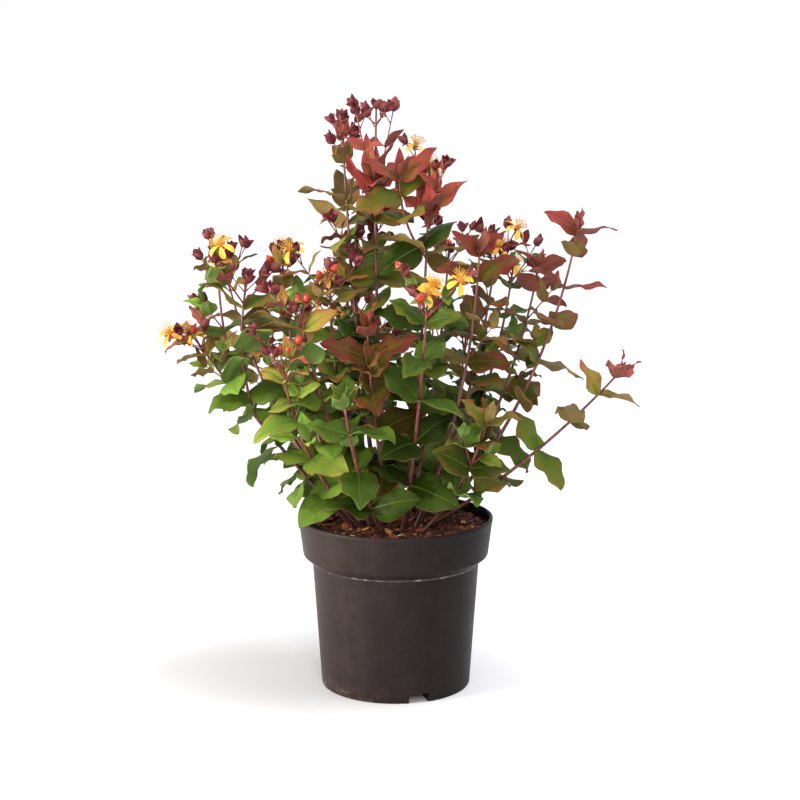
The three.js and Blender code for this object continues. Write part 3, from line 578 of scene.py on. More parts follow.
def add_crown_leaves(plan, limb, shoot, first_turn, steps, seed):
    """The narrow upright leaves that close a stem with no flowers."""
    for order, pair in enumerate(CROWN_PAIRS):
        roll = sway(seed, 320 + order, CROWN_LEAF_ROLL)
        for opposite in (0, 1):
            turn = first_turn + (steps + 1 + order) * math.pi / 2 + opposite * math.pi
            placed = leaf_frame(limb.point(1), limb.way(1), turn, pair["spread"], 0, roll)
            share = drawn(CROWN_LEAF_SHARES, seed, 330 + 2 * order + opposite)
            add_leaf(
                plan, placed, pair["length"] * share, CROWN_LEAF_WIDTH, shoot["tint"],
                shoot["fresh"], 0, 10 * seed + 9, fine=True,
            )


def grow_limb(plan, limb, shoot):
    """One limb with its pairs of leaves, each pair turned a quarter from the last."""
    name, seed, start, head = (shoot[field] for field in ("name", "seed", "bare", "head"))
    steps = max(LEAST_PAIRS, math.floor(limb.length * (1 - start) / NODE_SPACING + 0.5))
    stalked = head != "leaves"
    first_turn = draw(seed, 2) * math.pi
    last = 1 - shoot["neck"] / limb.length
    vigour = VIGOUR.get(name, 1)
    twiggy = TWIGGINESS.get(name, vigour ** AXIL_VIGOUR)
    young_length = YOUNG_LEAF_LENGTH if stalked else LEAFY_TIP_LENGTH
    for node in range(steps + (0 if stalked else 1)):
        share = node / steps
        at = mix(start + FIRST_PAIR_RISE, last, 1 - (1 - share) ** TIP_CROWDING)
        root = limb.point(min(at, 1 - LAST_PAIR_BACK / limb.length))
        stem_way = limb.way(min(at, 1))
        age = 1 - share
        turn = first_turn + node * math.pi / 2 + sway(seed, 70 + node, TURN_SWAY)
        grown = min(1, age * GROWTH_PACE)
        length = mix(young_length, OLD_LEAF_LENGTH, grown)
        width = mix(YOUNG_LEAF_WIDTH, OLD_LEAF_WIDTH, grown)
        open_spread = mix(YOUNG_SPREAD, OLD_SPREAD, min(1, age * OPENING_PACE))
        tint = shoot["tint"] * mix(BLUSH.get(name, 0), 1, share ** REDDENING)
        for opposite in (0, 1):
            number = 2 * node + opposite
            leaf_turn = turn + opposite * math.pi
            spread = open_spread + sway(seed, 100 + number, SPREAD_SWAY)
            size = vigour * length * drawn(LEAF_SHARES, seed, 140 + number)
            roll = sway(seed, 180 + number, LEAF_ROLL)
            placed = leaf_frame(root, stem_way, leaf_turn, spread, age, roll)
            add_leaf(plan, placed, size, width, tint, shoot["fresh"], age, 10 * seed + node)
            chance = twiggy * mix(*AXIL_TWIG_CHANCES, share)
            if 0 < node < steps - 1 and draw(seed, 400 + number) < chance:
                axil = root + stem_way * AXIL_RISE * AXIL_TWIG_RISE
                twig_seed = 500 + 20 * seed + number
                add_axil_twig(plan, axil, stem_way, leaf_turn, shoot, tint, twig_seed)
        if stalked and node == steps - 1:
            axil = root + stem_way * AXIL_RISE
            for opposite, kind in enumerate(HEAD_KINDS[head][3:]):
                branch_seed = seed + SIDE_SEED_STEP * (opposite + 1)
                branch_turn = turn + opposite * math.pi
                add_side_branch(plan, axil, stem_way, branch_turn, shoot, kind, branch_seed)
            if shoot["neck"] > 0:
                add_rosette(plan, axil, stem_way, turn + math.pi / 4, shoot, seed)
    if stalked:
        add_head(plan, limb.point(1), limb.way(1), HEAD_KINDS[head][:3], seed, 2)
    else:
        add_crown_leaves(plan, limb, shoot, first_turn, steps, seed)


def ring_shoots():
    """The rows of the stems at the back."""
    rows = []
    for level, ring in enumerate(BACK_RINGS):
        count = len(ring["seeds"])
        for place, seed in enumerate(ring["seeds"]):
            bearing = mix(ring["from"], ring["to"], place / (count - 1))
            reach = ring["reach"] + sway(seed, 0, RING_REACH_SWAY)
            height = ring["height"] + sway(seed, 1, RING_HEIGHT_SWAY)
            head = RING_HEADS[(place + level) % len(RING_HEADS)]
            rows.append((
                f"{ring['name']}_{place + 1}", around_axis(bearing, reach, height),
                (bearing, ring["foot"]), ring["belly"], ring["bare"], draw(seed, 3), head, 0,
                seed, drawn(RING_FRESHNESS, seed, 5),
            ))
    return rows


def limb_shape(limb, foot_radius, flare=0.0):
    """The points and radii of a limb's mesh."""
    count = max(3, int(limb.length / STEM_STEP))
    points, radii = [], []
    for step in range(count + 1):
        at = step / count
        swell = 1 + flare * max(0, 1 - at * limb.length / FLARE_HEIGHT)
        points.append(limb.point(at))
        radii.append(mix(foot_radius, TOP_STEM_RADIUS, at) * swell)
    return points, radii


def grow_plant():
    """Everything that grows: a stem and a mass of foliage for each shoot."""
    forks = [dict(zip(SHOOT_FIELDS, row)) for row in FORKS]
    masses = {}
    for row in (*SHOOTS, *ring_shoots()):
        shoot = dict(zip(SHOOT_FIELDS, row))
        foot = around_axis(*shoot["foot"], SOIL_LEVEL + GAP)
        limb = Limb(foot, np.array(shoot["tip"], float), shoot["belly"])
        plan = {"twigs": [], "leaves": [], "blooms": [], "stems": []}
        plan["stems"].append(limb_shape(limb, FOOT_STEM_RADIUS, FLARE))
        grow_limb(plan, limb, shoot)
        for fork in forks:
            stem, at = fork["foot"]
            if stem == shoot["name"]:
                branch = Limb(limb.point(at), np.array(fork["tip"], float), fork["belly"])
                radius = mix(FOOT_STEM_RADIUS, TOP_STEM_RADIUS, at)
                plan["stems"].append(limb_shape(branch, radius))
                grow_limb(plan, branch, fork)
        masses[shoot["name"]] = plan
    return masses


# Mesh building

def make_mesh(name, points, faces, shades, materials, uvs=None):
    """A smooth mesh object from points in millimetres and four-cornered faces."""
    mesh = bpy.data.meshes.new(name)
    corners = faces.ravel().astype(np.int32)
    mesh.vertices.add(len(points))
    mesh.vertices.foreach_set("co", (np.asarray(points) * MM).ravel())
    mesh.loops.add(len(corners))
    mesh.loops.foreach_set("vertex_index", corners)
    mesh.polygons.add(len(faces))
    mesh.polygons.foreach_set("loop_start", np.arange(0, len(corners), 4, dtype=np.int32))
    mesh.polygons.foreach_set("use_smooth", np.ones(len(faces), bool))
    for material in materials:
        mesh.materials.append(material)
    mesh.polygons.foreach_set("material_index", np.asarray(shades, np.int32))
    if uvs is not None:
        layer = mesh.uv_layers.new(name=UV_NAME)
        layer.data.foreach_set("uv", np.asarray(uvs)[corners].ravel())
    mesh.update(calc_edges=True)
    mesh.validate()
    thing = bpy.data.objects.new(name, mesh)
    bpy.context.scene.collection.objects.link(thing)
    return thing


def hand_over(thing, nodes=()):
    """Hang a piece on the body it rides on, and hide the CAD parts that it stands for."""
    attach(thing, BODY)
    if nodes:
        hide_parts(*nodes)


class Heap:
    """Points and faces of many small shapes that become one piece."""

    def __init__(self):
        self.points, self.faces, self.shades, self.uvs = [], [], [], []
        self.size = 0

    def add(self, points, faces, shades, uvs=None):
        self.points.append(np.asarray(points, float))
        self.faces.append(faces + self.size)
        self.shades.append(np.broadcast_to(np.asarray(shades), (len(faces),)))
        self.uvs.append(np.zeros((len(points), 2)) if uvs is None else uvs)
        self.size += len(points)

    def piece(self, name, materials, slot, nodes=(), smooth=True):
        parts = (self.points, self.faces, self.shades, self.uvs)
        points, faces, shades, uvs = (np.concatenate(part) for part in parts)
        thing = make_mesh(name, points, faces, shades, materials, uvs)
        if not smooth:
            thing.data.polygons.foreach_set("use_smooth", np.zeros(len(faces), bool))
        hand_over(thing, nodes)


def grid_faces(rows, columns, closed=False):
    """The four-cornered faces of a grid of points, row by row."""
    last = columns if closed else columns - 1
    row, column = np.meshgrid(np.arange(rows - 1), np.arange(last), indexing="ij")
    here, after = row * columns + column, row * columns + (column + 1) % columns
    return np.stack([here, after, after + columns, here + columns], axis=-1).reshape(-1, 4)


def grid_uvs(along, across):
    return np.stack(np.meshgrid(along, across, indexing="ij"), axis=-1).reshape(-1, 2)


def ring_angles(sides):
    return np.arange(sides) / sides * 2 * np.pi


def level_ring(radius, height, sides):
    """Points of a level ring round the pot's axis."""
    angles = ring_angles(sides)
    places = [radius * np.cos(angles), radius * np.sin(angles), np.full(sides, height)]
    return np.stack(places, axis=-1)


def add_tube(heap, points, radii, sides, shade=0, ridge=0.0):
    """A closed tube, with two faint ridges along it, whose ends draw together to a point."""
    points = np.array([points[0], *points, points[-1]], float)
    radii = [radii[0] * 0.02, *radii, radii[-1] * 0.02]
    points[0] = points[1] - (points[2] - points[1]) * 0.01
    points[-1] = points[-2] + (points[-2] - points[-3]) * 0.01
    ways = np.gradient(points, axis=0)
    ways /= np.linalg.norm(ways, axis=1)[:, None]
    side = np.cross([1.0, 0.0, 0.0], ways[0])
    side = unit(side) if np.linalg.norm(side) >= 1e-3 else np.array([0.0, 1.0, 0.0])
    angles = ring_angles(sides)
    swell = 1 + ridge * np.cos(2 * angles) ** 6
    rings = []
    for point, way, radius in zip(points, ways, radii):
        side = unit(side - way * np.dot(side, way))
        level = radius * (np.cos(angles) * swell)[:, None] * side
        raised = radius * (np.sin(angles) * swell)[:, None] * np.cross(way, side)
        rings.append(point + level + raised)
    lengths = np.linalg.norm(np.diff(points, axis=0), axis=1)
    along = np.concatenate([[0], np.cumsum(lengths)]) / 100
    faces = grid_faces(len(points), sides, closed=True)
    heap.add(np.concatenate(rings), faces, shade, grid_uvs(along, np.arange(sides) / sides))


# Materials

def linear(colour):
    """A colour such as 6b9a34 as the linear values that a shader takes."""
    parts = [value / 255 for value in bytes.fromhex(colour)]
    curve = [part / 12.92 if part <= 0.04045 else ((part + 0.055) / 1.055) ** 2.4 for part in parts]
    return (*curve, 1.0)


class Shader:
    """A new material with a Principled shader, and short ways to add its nodes."""

    def __init__(self, name, colour):
        self.material = bpy.data.materials.new(name)
        self.material.use_nodes = True
        self.tree = self.material.node_tree
        self.shader = self.tree.nodes["Principled BSDF"]
        self.set(self.shader, "Base Color", linear(colour))

    def set(self, node, key, value):
        """Link a socket to a node's input, or give it a plain value."""
        if isinstance(value, bpy.types.NodeSocket):
            self.tree.links.new(value, node.inputs[key])
        else:
            node.inputs[key].default_value = value

    def node(self, kind, inputs, **settings):
        node = self.tree.nodes.new(kind)
        for key, value in settings.items():
            setattr(node, key, value)
        for key, value in inputs.items():
            self.set(node, key, value)
        return node

    def place(self):
        return self.node("ShaderNodeTexCoord", {}).outputs["Object"]

    def uv(self):
        return self.node("ShaderNodeUVMap", {}, uv_map=UV_NAME).outputs["UV"]

    def axes(self, vector):
        return self.node("ShaderNodeSeparateXYZ", {0: vector}).outputs

    def squeezed(self, vector, height):
        """The vector with its height made less, which draws a noise out upwards."""
        inputs = {"Vector": vector, "Scale": (1.0, 1.0, height)}
        return self.node("ShaderNodeMapping", inputs).outputs[0]

    def math(self, operation, *values):
        inputs = dict(enumerate(values))
        return self.node("ShaderNodeMath", inputs, operation=operation).outputs[0]

    def noise(self, vector, scale, detail=3.0, roughness=0.55):
        inputs = {"Vector": vector, "Scale": scale, "Detail": detail, "Roughness": roughness}
        return self.node("ShaderNodeTexNoise", inputs).outputs["Fac"]

    def ramp(self, value, low, high, start=0.3, end=0.7):
        """The value spread from low to high."""
        inputs = {
            "Value": value, "From Min": start, "From Max": end, "To Min": low, "To Max": high,
        }
        return self.node("ShaderNodeMapRange", inputs).outputs[0]

    def blend(self, value, colours):
        """Base colours along a value: the two ends first, then one between them."""
        node = self.node("ShaderNodeValToRGB", {"Fac": value})
        stops = node.color_ramp.elements
        for place, (at, colour) in enumerate(colours):
            stop = stops[place] if place < 2 else stops.new(at)
            stop.position = at
            stop.color = linear(colour)
        self.set(self.shader, "Base Color", node.outputs["Color"])

    def stain(self, share, colour):
        """A colour laid over what the base colour is linked to."""
        under = self.shader.inputs["Base Color"].links[0].from_socket
        inputs = {"Factor": share, 6: under, 7: linear(colour)}
        node = self.node("ShaderNodeMix", inputs, data_type="RGBA")
        self.set(self.shader, "Base Color", node.outputs[2])

    def rough(self, value):
        self.set(self.shader, "Roughness", value)

    def dull(self, level):
        self.set(self.shader, "Specular IOR Level", level)

    def bump(self, height, strength, distance):
        inputs = {"Height": height, "Strength": strength, "Distance": distance}
        self.set(self.shader, "Normal", self.node("ShaderNodeBump", inputs).outputs["Normal"])


def leaf_material(name, colour, gloss=0.42):
    """A waxy leaf: veins and a fine net in the relief, and a sheen that comes and goes."""
    shader = Shader(name, colour)
    uv = shader.uv()
    along, across = shader.axes(uv)[:2]
    from_rib = shader.math("ABSOLUTE", shader.math("SUBTRACT", across, 0.5))
    slant = shader.math("MULTIPLY", from_rib, 3.2)
    phase = shader.math("SUBTRACT", shader.math("MULTIPLY", along, 7.0), slant)
    vein = shader.math("ABSOLUTE", shader.math("SUBTRACT", shader.math("FRACT", phase), 0.5))
    vein = shader.ramp(vein, 1.0, 0.0, 0.0, 0.12)
    net = shader.noise(uv, 42.0, 3.0, 0.6)
    shader.bump(shader.math("ADD", shader.math("MULTIPLY", vein, -0.5), net), 0.6, 0.0004)
    shader.rough(shader.ramp(shader.noise(uv, 9.0), gloss - 0.06, gloss + 0.14))
    shader.dull(0.06)
    return shader.material


def petal_material(name, colour):
    shader = Shader(name, colour)
    uv = shader.uv()
    shader.bump(shader.noise(uv, 30.0, 2.0), 0.3, 0.0003)
    shader.rough(shader.ramp(shader.noise(uv, 12.0), 0.42, 0.62))
    return shader.material


def berry_material(name, colour, gloss=0.16):
    shader = Shader(name, colour)
    place = shader.place()
    shader.rough(shader.ramp(shader.noise(place, 300.0), gloss, gloss + 0.14))
    shader.bump(shader.noise(place, 700.0, 2.0), 0.12, 0.0003)
    return shader.material


def stem_material(name, dark, middle, light):
    """Smooth red stems with long paler streaks and small raised pores, brown at their feet."""
    shader = Shader(name, middle)
    place = shader.place()
    streaks = shader.noise(shader.squeezed(place, 0.12), 420.0, 4.0, 0.6)
    shader.blend(streaks, [(0.3, dark), (0.72, light), (0.5, middle)])
    height = shader.axes(place)[2]
    shader.stain(shader.ramp(height, 0.85, 0.0, SOIL_LEVEL * MM, WOODY_HEIGHT * MM), WOODY_COLOUR)
    shader.rough(shader.ramp(streaks, 0.34, 0.56))
    shader.bump(shader.noise(place, 900.0, 3.0), 0.3, 0.0004)
    return shader.material


def pot_material():
    """Moulded recycled plastic: satin, with faint upright flow lines, dust and specks of earth, and
    a painted light that makes its left side paler and its right side darker.
    """
    shader = Shader("pot_plastic", "231c1b")
    place = shader.place()
    across, height = shader.axes(place)[0], shader.axes(place)[2]
    flow = shader.noise(shader.squeezed(place, 0.1), 60.0, 4.0, 0.6)
    dust = shader.noise(place, 38.0, 6.0, 0.7)
    mottle = shader.math("MULTIPLY_ADD", dust, 0.34, shader.math("MULTIPLY_ADD", flow, 0.16, 0.27))
    # Painted light: the pot's left side is made paler and its right side darker, as if lit from the
    # left.
    painted_side_light = shader.ramp(across, 0.2, -0.26, -RIM_RADIUS * MM, RIM_RADIUS * MM)
    dust_and_painted_light = shader.math("ADD", mottle, painted_side_light)
    shader.blend(dust_and_painted_light, [(0.25, "0c0809"), (0.8, "362b2a"), (0.52, "221a1a")])
    low = shader.ramp(height, 1.0, 0.0, 0.0, EARTH_HEIGHT * MM)
    left = shader.ramp(across, 1.0, 0.0, -FOOT_RADIUS * MM, 0.0)
    specks = shader.ramp(shader.noise(place, 240.0, 5.0, 0.75), 0.0, 0.8, 0.5, 0.68)
    earth = shader.math("MULTIPLY", shader.math("MULTIPLY", low, left), specks)
    shader.stain(earth, "84725a")
    shader.rough(shader.ramp(mottle, 0.38, 0.56, 0.42, 0.6))
    shader.dull(0.11)
    grain = shader.noise(place, 900.0, 2.0)
    shader.bump(shader.math("ADD", grain, shader.math("MULTIPLY", flow, 0.3)), 0.18, 0.0004)
    return shader.material


def grained_material(name, colours, scale, roughness, relief):
    """A worn or fibrous surface, coloured, dulled and raised by one noise."""
    shader = Shader(name, colours[1][1])
    grain = shader.noise(shader.place(), scale, 5.0, 0.7)
    shader.blend(grain, colours)
    shader.rough(shader.ramp(grain, *roughness))
    shader.bump(grain, *relief)
    return shader.material


def scuff_material():
    colours = [(0.46, "241d1c"), (0.66, "857873"), (0.54, "352c2a")]
    return grained_material("pot_scuff", colours, 160.0, (0.45, 0.75), (0.3, 0.0004))


def wood_material(name, dark, light):
    colours = [(0.32, dark), (0.68, light)]
    return grained_material(name, colours, 500.0, (0.75, 0.95), (0.6, 0.0008))


# Leaves

def bell(along, base, point, peak=None):
    """A half width along a blade, full near its base or near its point, and 1 at its peak."""
    peak = peak or base / (base + point)
    top = peak ** base * (1 - peak) ** point
    return np.clip(along, 0, 1) ** base * np.clip(1 - along, 0, 1) ** point / top


def outline_share(along, blunt):
    """The half width of a leaf at a share of its length, from 0 to 1."""
    return bell(along, mix(0.62, 0.42, blunt), mix(1.0, 0.9, blunt))


def leaf_sheet(leaf, rows, columns, body):
    """Points of a curved leaf: rows along it, columns across from -1 to 1, body below its face."""
    seed = leaf["seed"] * 7 + int(1000 * draw(int(abs(leaf["along"][0]) * 4096), 3))
    length, age = leaf["length"], leaf["age"]
    scale = length / STANDARD_LENGTH
    along, across = np.meshgrid(rows, columns, indexing="ij")
    edge = np.abs(across)
    share = along + VEIN_SLANT * np.sin(np.pi * along) * edge ** 1.3
    half = outline_share(share, min(1, 0.2 + age)) * length * leaf["width"] / 2
    half = np.maximum(half, LEAF_STALK * (1 - share) ** 8)
    rib = np.minimum(RIB_HALF_WIDTH * (1 - 0.75 * share), half * 0.6)
    sideways = np.where(edge <= LEAF_COLUMNS[-1], np.sign(across) * rib, across * half)

    # The fold along the rib, the waves of the margin and the quilting between the veins
    fold = mix(*LEAF_FOLDS, age) + sway(seed, 1, FOLD_SWAY)
    curl = LEAF_CURL + sway(seed, 2, CURL_SWAY)
    lift = half * (fold * edge - curl * edge ** 2.6)
    waves = drawn(LEAF_WAVES, seed, 3) * scale
    turns = drawn(LEAF_WAVE_TURNS, seed, 4)
    phase = np.where(across > 0, draw(seed, 5), draw(seed, 6))
    share = np.clip(share, 0, 1)
    ripple = np.sin(2 * np.pi * (turns * share + phase)) * np.sin(np.pi * share) ** 0.5
    lift += waves * edge ** 2 * ripple
    quilt = np.where(np.arange(len(rows)) % 2 == 0, 1.0, -1.0)[:, None]
    lift += LEAF_QUILT * scale * quilt * np.sin(np.pi * along) * (1 - edge ** 4) * (edge > 0.1)
    lift = lift - body

    # The bend and the twist along the leaf
    rise = mix(*LEAF_RISES, age) + sway(seed, 7, RISE_SWAY)
    droop = mix(*LEAF_DROOPS, age) + sway(seed, 8, DROOP_SWAY)
    hook = mix(*LEAF_HOOKS, draw(seed, 9) ** 2)
    fine = np.linspace(0, 1, BEND_STEPS + 1)
    angles = rise - droop * fine - hook * fine ** 5
    forward, upward = (
        np.concatenate([[0], np.cumsum((part[1:] + part[:-1]) / 2)]) / BEND_STEPS * length
        for part in (np.cos(angles), np.sin(angles))
    )
    angle = np.interp(share, fine, angles)
    twist = sway(seed, 10, TWIST_SWAY) * share
    level = sideways * np.cos(twist) - lift * np.sin(twist)
    raised = sideways * np.sin(twist) + lift * np.cos(twist)
    ahead = np.interp(share, fine, forward) - np.sin(angle) * raised
    height = np.interp(share, fine, upward) + np.cos(angle) * raised
    return (
        leaf["root"]
        + ahead[..., None] * leaf["along"]
        + level[..., None] * np.cross(leaf["face"], leaf["along"])
        + height[..., None] * leaf["face"]
    )


FULL_COLUMNS = np.array([-c for c in LEAF_COLUMNS] + [c for c in reversed(LEAF_COLUMNS)])
UNDER_COLUMNS = FULL_COLUMNS[1:-1]
ROW_SHARES = (1 - np.cos(np.pi * np.arange(LEAF_ROWS) / (LEAF_ROWS - 1))) / 2


def leaf_faces():
    """The faces of a leaf's upper side and of its underside, which share the margins."""
    wide = len(FULL_COLUMNS)
    top = grid_faces(LEAF_ROWS, wide)
    under_points = LEAF_ROWS * wide + np.arange(LEAF_ROWS * len(UNDER_COLUMNS))
    margins = np.arange(LEAF_ROWS) * wide
    rows = [margins[:, None], under_points.reshape(LEAF_ROWS, -1), margins[:, None] + wide - 1]
    under = np.concatenate(rows, axis=1).ravel()[grid_faces(LEAF_ROWS, wide)]
    return top, under[:, [0, 3, 2, 1]]


TOP_FACES, UNDER_FACES = leaf_faces()
LEAF_FACES = np.concatenate([TOP_FACES, UNDER_FACES])
LEAF_UVS = np.concatenate([
    grid_uvs(ROW_SHARES, FULL_COLUMNS / 2 + 0.5), grid_uvs(ROW_SHARES, UNDER_COLUMNS / 2 + 0.5),
])


def mixed_colour(colours, place):
    """The colour at a place in a row of colours such as 6b9a34."""
    low = min(int(place), len(colours) - 2)
    pairs = zip(*(bytes.fromhex(colour) for colour in colours[low:low + 2]))
    return bytes(round(mix(one, two, place - low)) for one, two in pairs).hex()


def leaf_colours():
    """The plain colours of all leaves: blades by tint and shade, then their details."""
    found = {}
    for tint in range(TINT_STEPS):
        place = 2 * tint / (TINT_STEPS - 1)
        ends = (mixed_colour(DEEP_COLOURS, place), mixed_colour(BRIGHT_COLOURS, place))
        for shade in range(SHADE_STEPS):
            found[f"leaf_{tint}_{shade}"] = mixed_colour(ends, shade / (SHADE_STEPS - 1))
    for name, row in DETAIL_COLOURS.items():
        for step in range(DETAIL_STEPS):
            found[f"{name}_{step}"] = mixed_colour(row, 2 * step / (DETAIL_STEPS - 1))
    return found


def leaf_tint(leaf):
    """How red the leaf is, and how bright, before its own margins and tip."""
    seed = leaf["seed"]
    tint = TINT_SPREAD * (leaf["tint"] + sway(seed, 11, TINT_SWAY)) - TINT_SHIFT
    # The shoot's brightness is partly painted light and shade: brighter on the lit left, darker low
    # in the middle of the crown.
    shade = leaf["fresh"] + sum(sway(seed, index, reach) for index, reach in SHADE_SWAYS.items())
    # Paler towards a limb's tip: partly painted light and shade that darkens the low leaves.
    return tint, shade + YOUTH_AND_PAINTED_LIGHT * (0.5 - leaf["age"])


def leaf_kind(leaf):
    tint = leaf_tint(leaf)[0]
    return "green" if tint < BRONZE_FROM else "bronze" if tint < MAROON_FROM else "maroon"


def nearest_step(values, steps):
    return np.clip(np.rint(values * (steps - 1)), 0, steps - 1).astype(int)


def leaf_shades(leaf):
    """The number of the plain colour of each face: a blade that reddens to its tip and margins."""
    seed = leaf["seed"] * 3 + int(leaf["length"] * 7)
    rows = (ROW_SHARES[1:] + ROW_SHARES[:-1]) / 2
    columns = (FULL_COLUMNS[1:] + FULL_COLUMNS[:-1]) / 2
    along, across = np.meshgrid(rows, columns, indexing="ij")
    edge = abs(across)
    tint, shade = leaf_tint(leaf)
    blotch = (
        np.sin(5.1 * along + 3.0 * across + 6.3 * draw(seed, 21))
        * np.sin(7.7 * along - 4.1 * across + 6.3 * draw(seed, 22))
    )
    ripe = 0.85 * max(0.0, min(1.0, tint + 0.45))
    tints = tint + ripe * (edge ** 2 + 1.2 * along - 0.75) + 0.3 * ripe * blotch
    shades = shade + 0.14 * (along - 0.4) + 0.1 * edge - 0.05
    numbers = nearest_step(tints / 2, TINT_STEPS) * SHADE_STEPS + nearest_step(shades, SHADE_STEPS)

    step = int(min(max(round(tint), 0), DETAIL_STEPS - 1))
    rib, margin, under = (TINT_STEPS * SHADE_STEPS + DETAIL_STEPS * row + step for row in range(3))
    numbers[:, len(columns) // 2] = rib
    numbers[:, [0, -1]] = margin
    return np.concatenate([numbers.ravel(), np.full(len(UNDER_FACES), under)])


def add_leaf_mesh(heap, leaf):
    body = LEAF_BODY * np.ones((LEAF_ROWS, len(UNDER_COLUMNS)))
    body[-1] = 0.0
    top = leaf_sheet(leaf, ROW_SHARES, FULL_COLUMNS, 0.0).reshape(-1, 3)
    under = leaf_sheet(leaf, ROW_SHARES, UNDER_COLUMNS, body).reshape(-1, 3)
    heap.add(np.concatenate([top, under]), LEAF_FACES, leaf_shades(leaf), LEAF_UVS)


# Room for each leaf

CELL = 5.0  # the cubes that leaves fill
SAMPLE_ROWS = np.array([0.25, 0.45, 0.65, 0.85, 1.0])
SAMPLE_COLUMNS = np.array([-0.8, -0.3, 0.3, 0.8])
LIFTS = (0.0, 0.3, -0.3, 0.6, -0.6)
POT_MARGIN = 6
HARD_CROWDING = 20  # for a point in the pot or the soil
MOST_CROWDING = {"fine": 3, "main": 19}


def cells_of(points):
    return {tuple(cell) for cell in np.floor(points / CELL).astype(int)}


def crowding_at(filled, points):
    """How many of the points' cubes other leaves fill, or how far they are in pot or soil."""
    taken = sum(cell in filled for cell in cells_of(points))
    reach = np.hypot(points[:, 0], points[:, 1])
    near_rim = (reach > RIM_RADIUS - POT_MARGIN) & (reach < RIM_RADIUS + 2)
    in_wall = (points[:, 2] < POT_HEIGHT + 1) & near_rim
    in_soil = (points[:, 2] < SOIL_LEVEL + 2) & (reach < RIM_RADIUS)
    return taken + HARD_CROWDING * int(in_wall.sum() + in_soil.sum())


def settled(leaf, filled):
    """The leaf, turned up or down where it would run through another one, or None without room."""
    least = None
    for lift in LIFTS:
        along = unit(leaf["along"] + leaf["face"] * lift)
        face = unit(leaf["face"] - along * np.dot(leaf["face"], along))
        tried = dict(leaf, along=along, face=face)
        points = leaf_sheet(tried, SAMPLE_ROWS, SAMPLE_COLUMNS, 0.0).reshape(-1, 3)
        crowding = crowding_at(filled, points)
        if least is None or crowding < least:
            best, least, room = tried, crowding, points
        if crowding == 0:
            break
    if least > MOST_CROWDING["fine" if leaf["fine"] else "main"]:
        return None
    filled.update(cells_of(room))
    return best


# Flowers, berries and buds

def petal_share(along):
    """The half width of a petal, narrow at its root and round at its end."""
    return np.sin(np.pi * np.clip(along, 0, 1) ** 1.25) ** 0.6 * (0.35 + 0.65 * along ** 0.8)


def sepal_share(along):
    """The half width of a sepal, broad near its root and pointed at its end."""
    return outline_share(along, 1.0)


def tulip_share(along):
    """The half width of a bud's sepal, full and blunt."""
    return bell(along, 0.45, 0.7, 0.45)


def add_blade(heap, root, along, face, size, bend, shade, grid, outline, body=0.25):
    """A small two-sided blade, such as a petal or a sepal. size is its length and width, and
    bend how far it rises, bends back along its length and cups across it."""
    (length, width), (rise, back, cup), (rows, columns) = size, bend, grid
    shares = (1 - np.cos(np.pi * np.arange(rows) / (rows - 1))) / 2
    share, over = np.meshgrid(shares, np.linspace(-1, 1, columns), indexing="ij")
    half = np.maximum(outline(share * 0.98 + 0.02) * width / 2, 0.3 * (1 - share))
    angle = rise - back * share
    forward = length * share * np.cos(rise - back * share / 2)
    upward = length * share * np.sin(rise - back * share / 2)
    side = np.cross(face, along)
    parts = []
    for depth in (0.0, body):
        lift = cup * half * over ** 2 - depth * (1 - share ** 6)
        parts.append((
            root
            + (forward - np.sin(angle) * lift)[..., None] * along
            + (over * half)[..., None] * side
            + (upward + np.cos(angle) * lift)[..., None] * face
        ).reshape(-1, 3))
    top = grid_faces(rows, columns)
    below = rows * columns
    low = np.arange(rows - 1) * columns
    left = np.stack([low, low + columns, low + columns + below, low + below], axis=-1)
    right = (left + columns - 1)[:, ::-1]
    faces = np.concatenate([top, top[:, ::-1] + below, left, right])
    uv = np.stack([share, over / 2 + 0.5], axis=-1).reshape(-1, 2)
    heap.add(np.concatenate(parts), faces, BLOOM_SHADE[shade], np.concatenate([uv, uv]))


def add_round(heap, root, along, profile, sides, shades):
    """A turned body on an axis: profile lists radius and height, and shades its bands."""
    side, over = sides_of(along)
    angles = ring_angles(sides)
    ring = np.cos(angles)[:, None] * side + np.sin(angles)[:, None] * over
    points = np.concatenate([root + along * height + ring * radius for radius, height in profile])
    faces = grid_faces(len(profile), sides, closed=True)
    bands = [BLOOM_SHADE[shade] for shade in shades]
    heap.add(points, faces[:, ::-1], np.repeat(bands, sides))


def egg_profile(radius, length, steps, point):
    """Radius and height of an egg from its base to its tip, which point draws in."""
    profile = []
    for step in range(steps + 1):
        lean = math.cos(math.pi * step / steps)
        wide = radius * math.sin(math.pi * step / steps) ** 0.85
        wide *= 1 + 0.16 * lean - point * max(0, -lean)
        profile.append((max(wide, AXIS_RADIUS), length * (1 - lean) / 2))
    return profile


def add_sepals(heap, bloom, count, size, bend, shades, outline=sepal_share):
    seed = bloom["seed"]
    rise, back, cup = bend
    for place in range(count):
        turn = place / count * FULL_TURN + draw(seed, 80) * 2 + sway(seed, 81 + place, 0.15)
        away = round_way(bloom["along"], turn)
        length = size[0] * drawn(SEPAL_LENGTH_SHARES, seed, 90 + place)
        width = size[1] * drawn(SEPAL_WIDTH_SHARES, seed, 96 + place)
        own_bend = (rise + sway(seed, 102 + place, 0.15), back, cup)
        shade = shades[place % len(shades)]
        root = bloom["root"] + away * 0.6
        add_blade(
            heap, root, away, bloom["along"], (length, width), own_bend, shade, SEPAL_GRID, outline,
        )


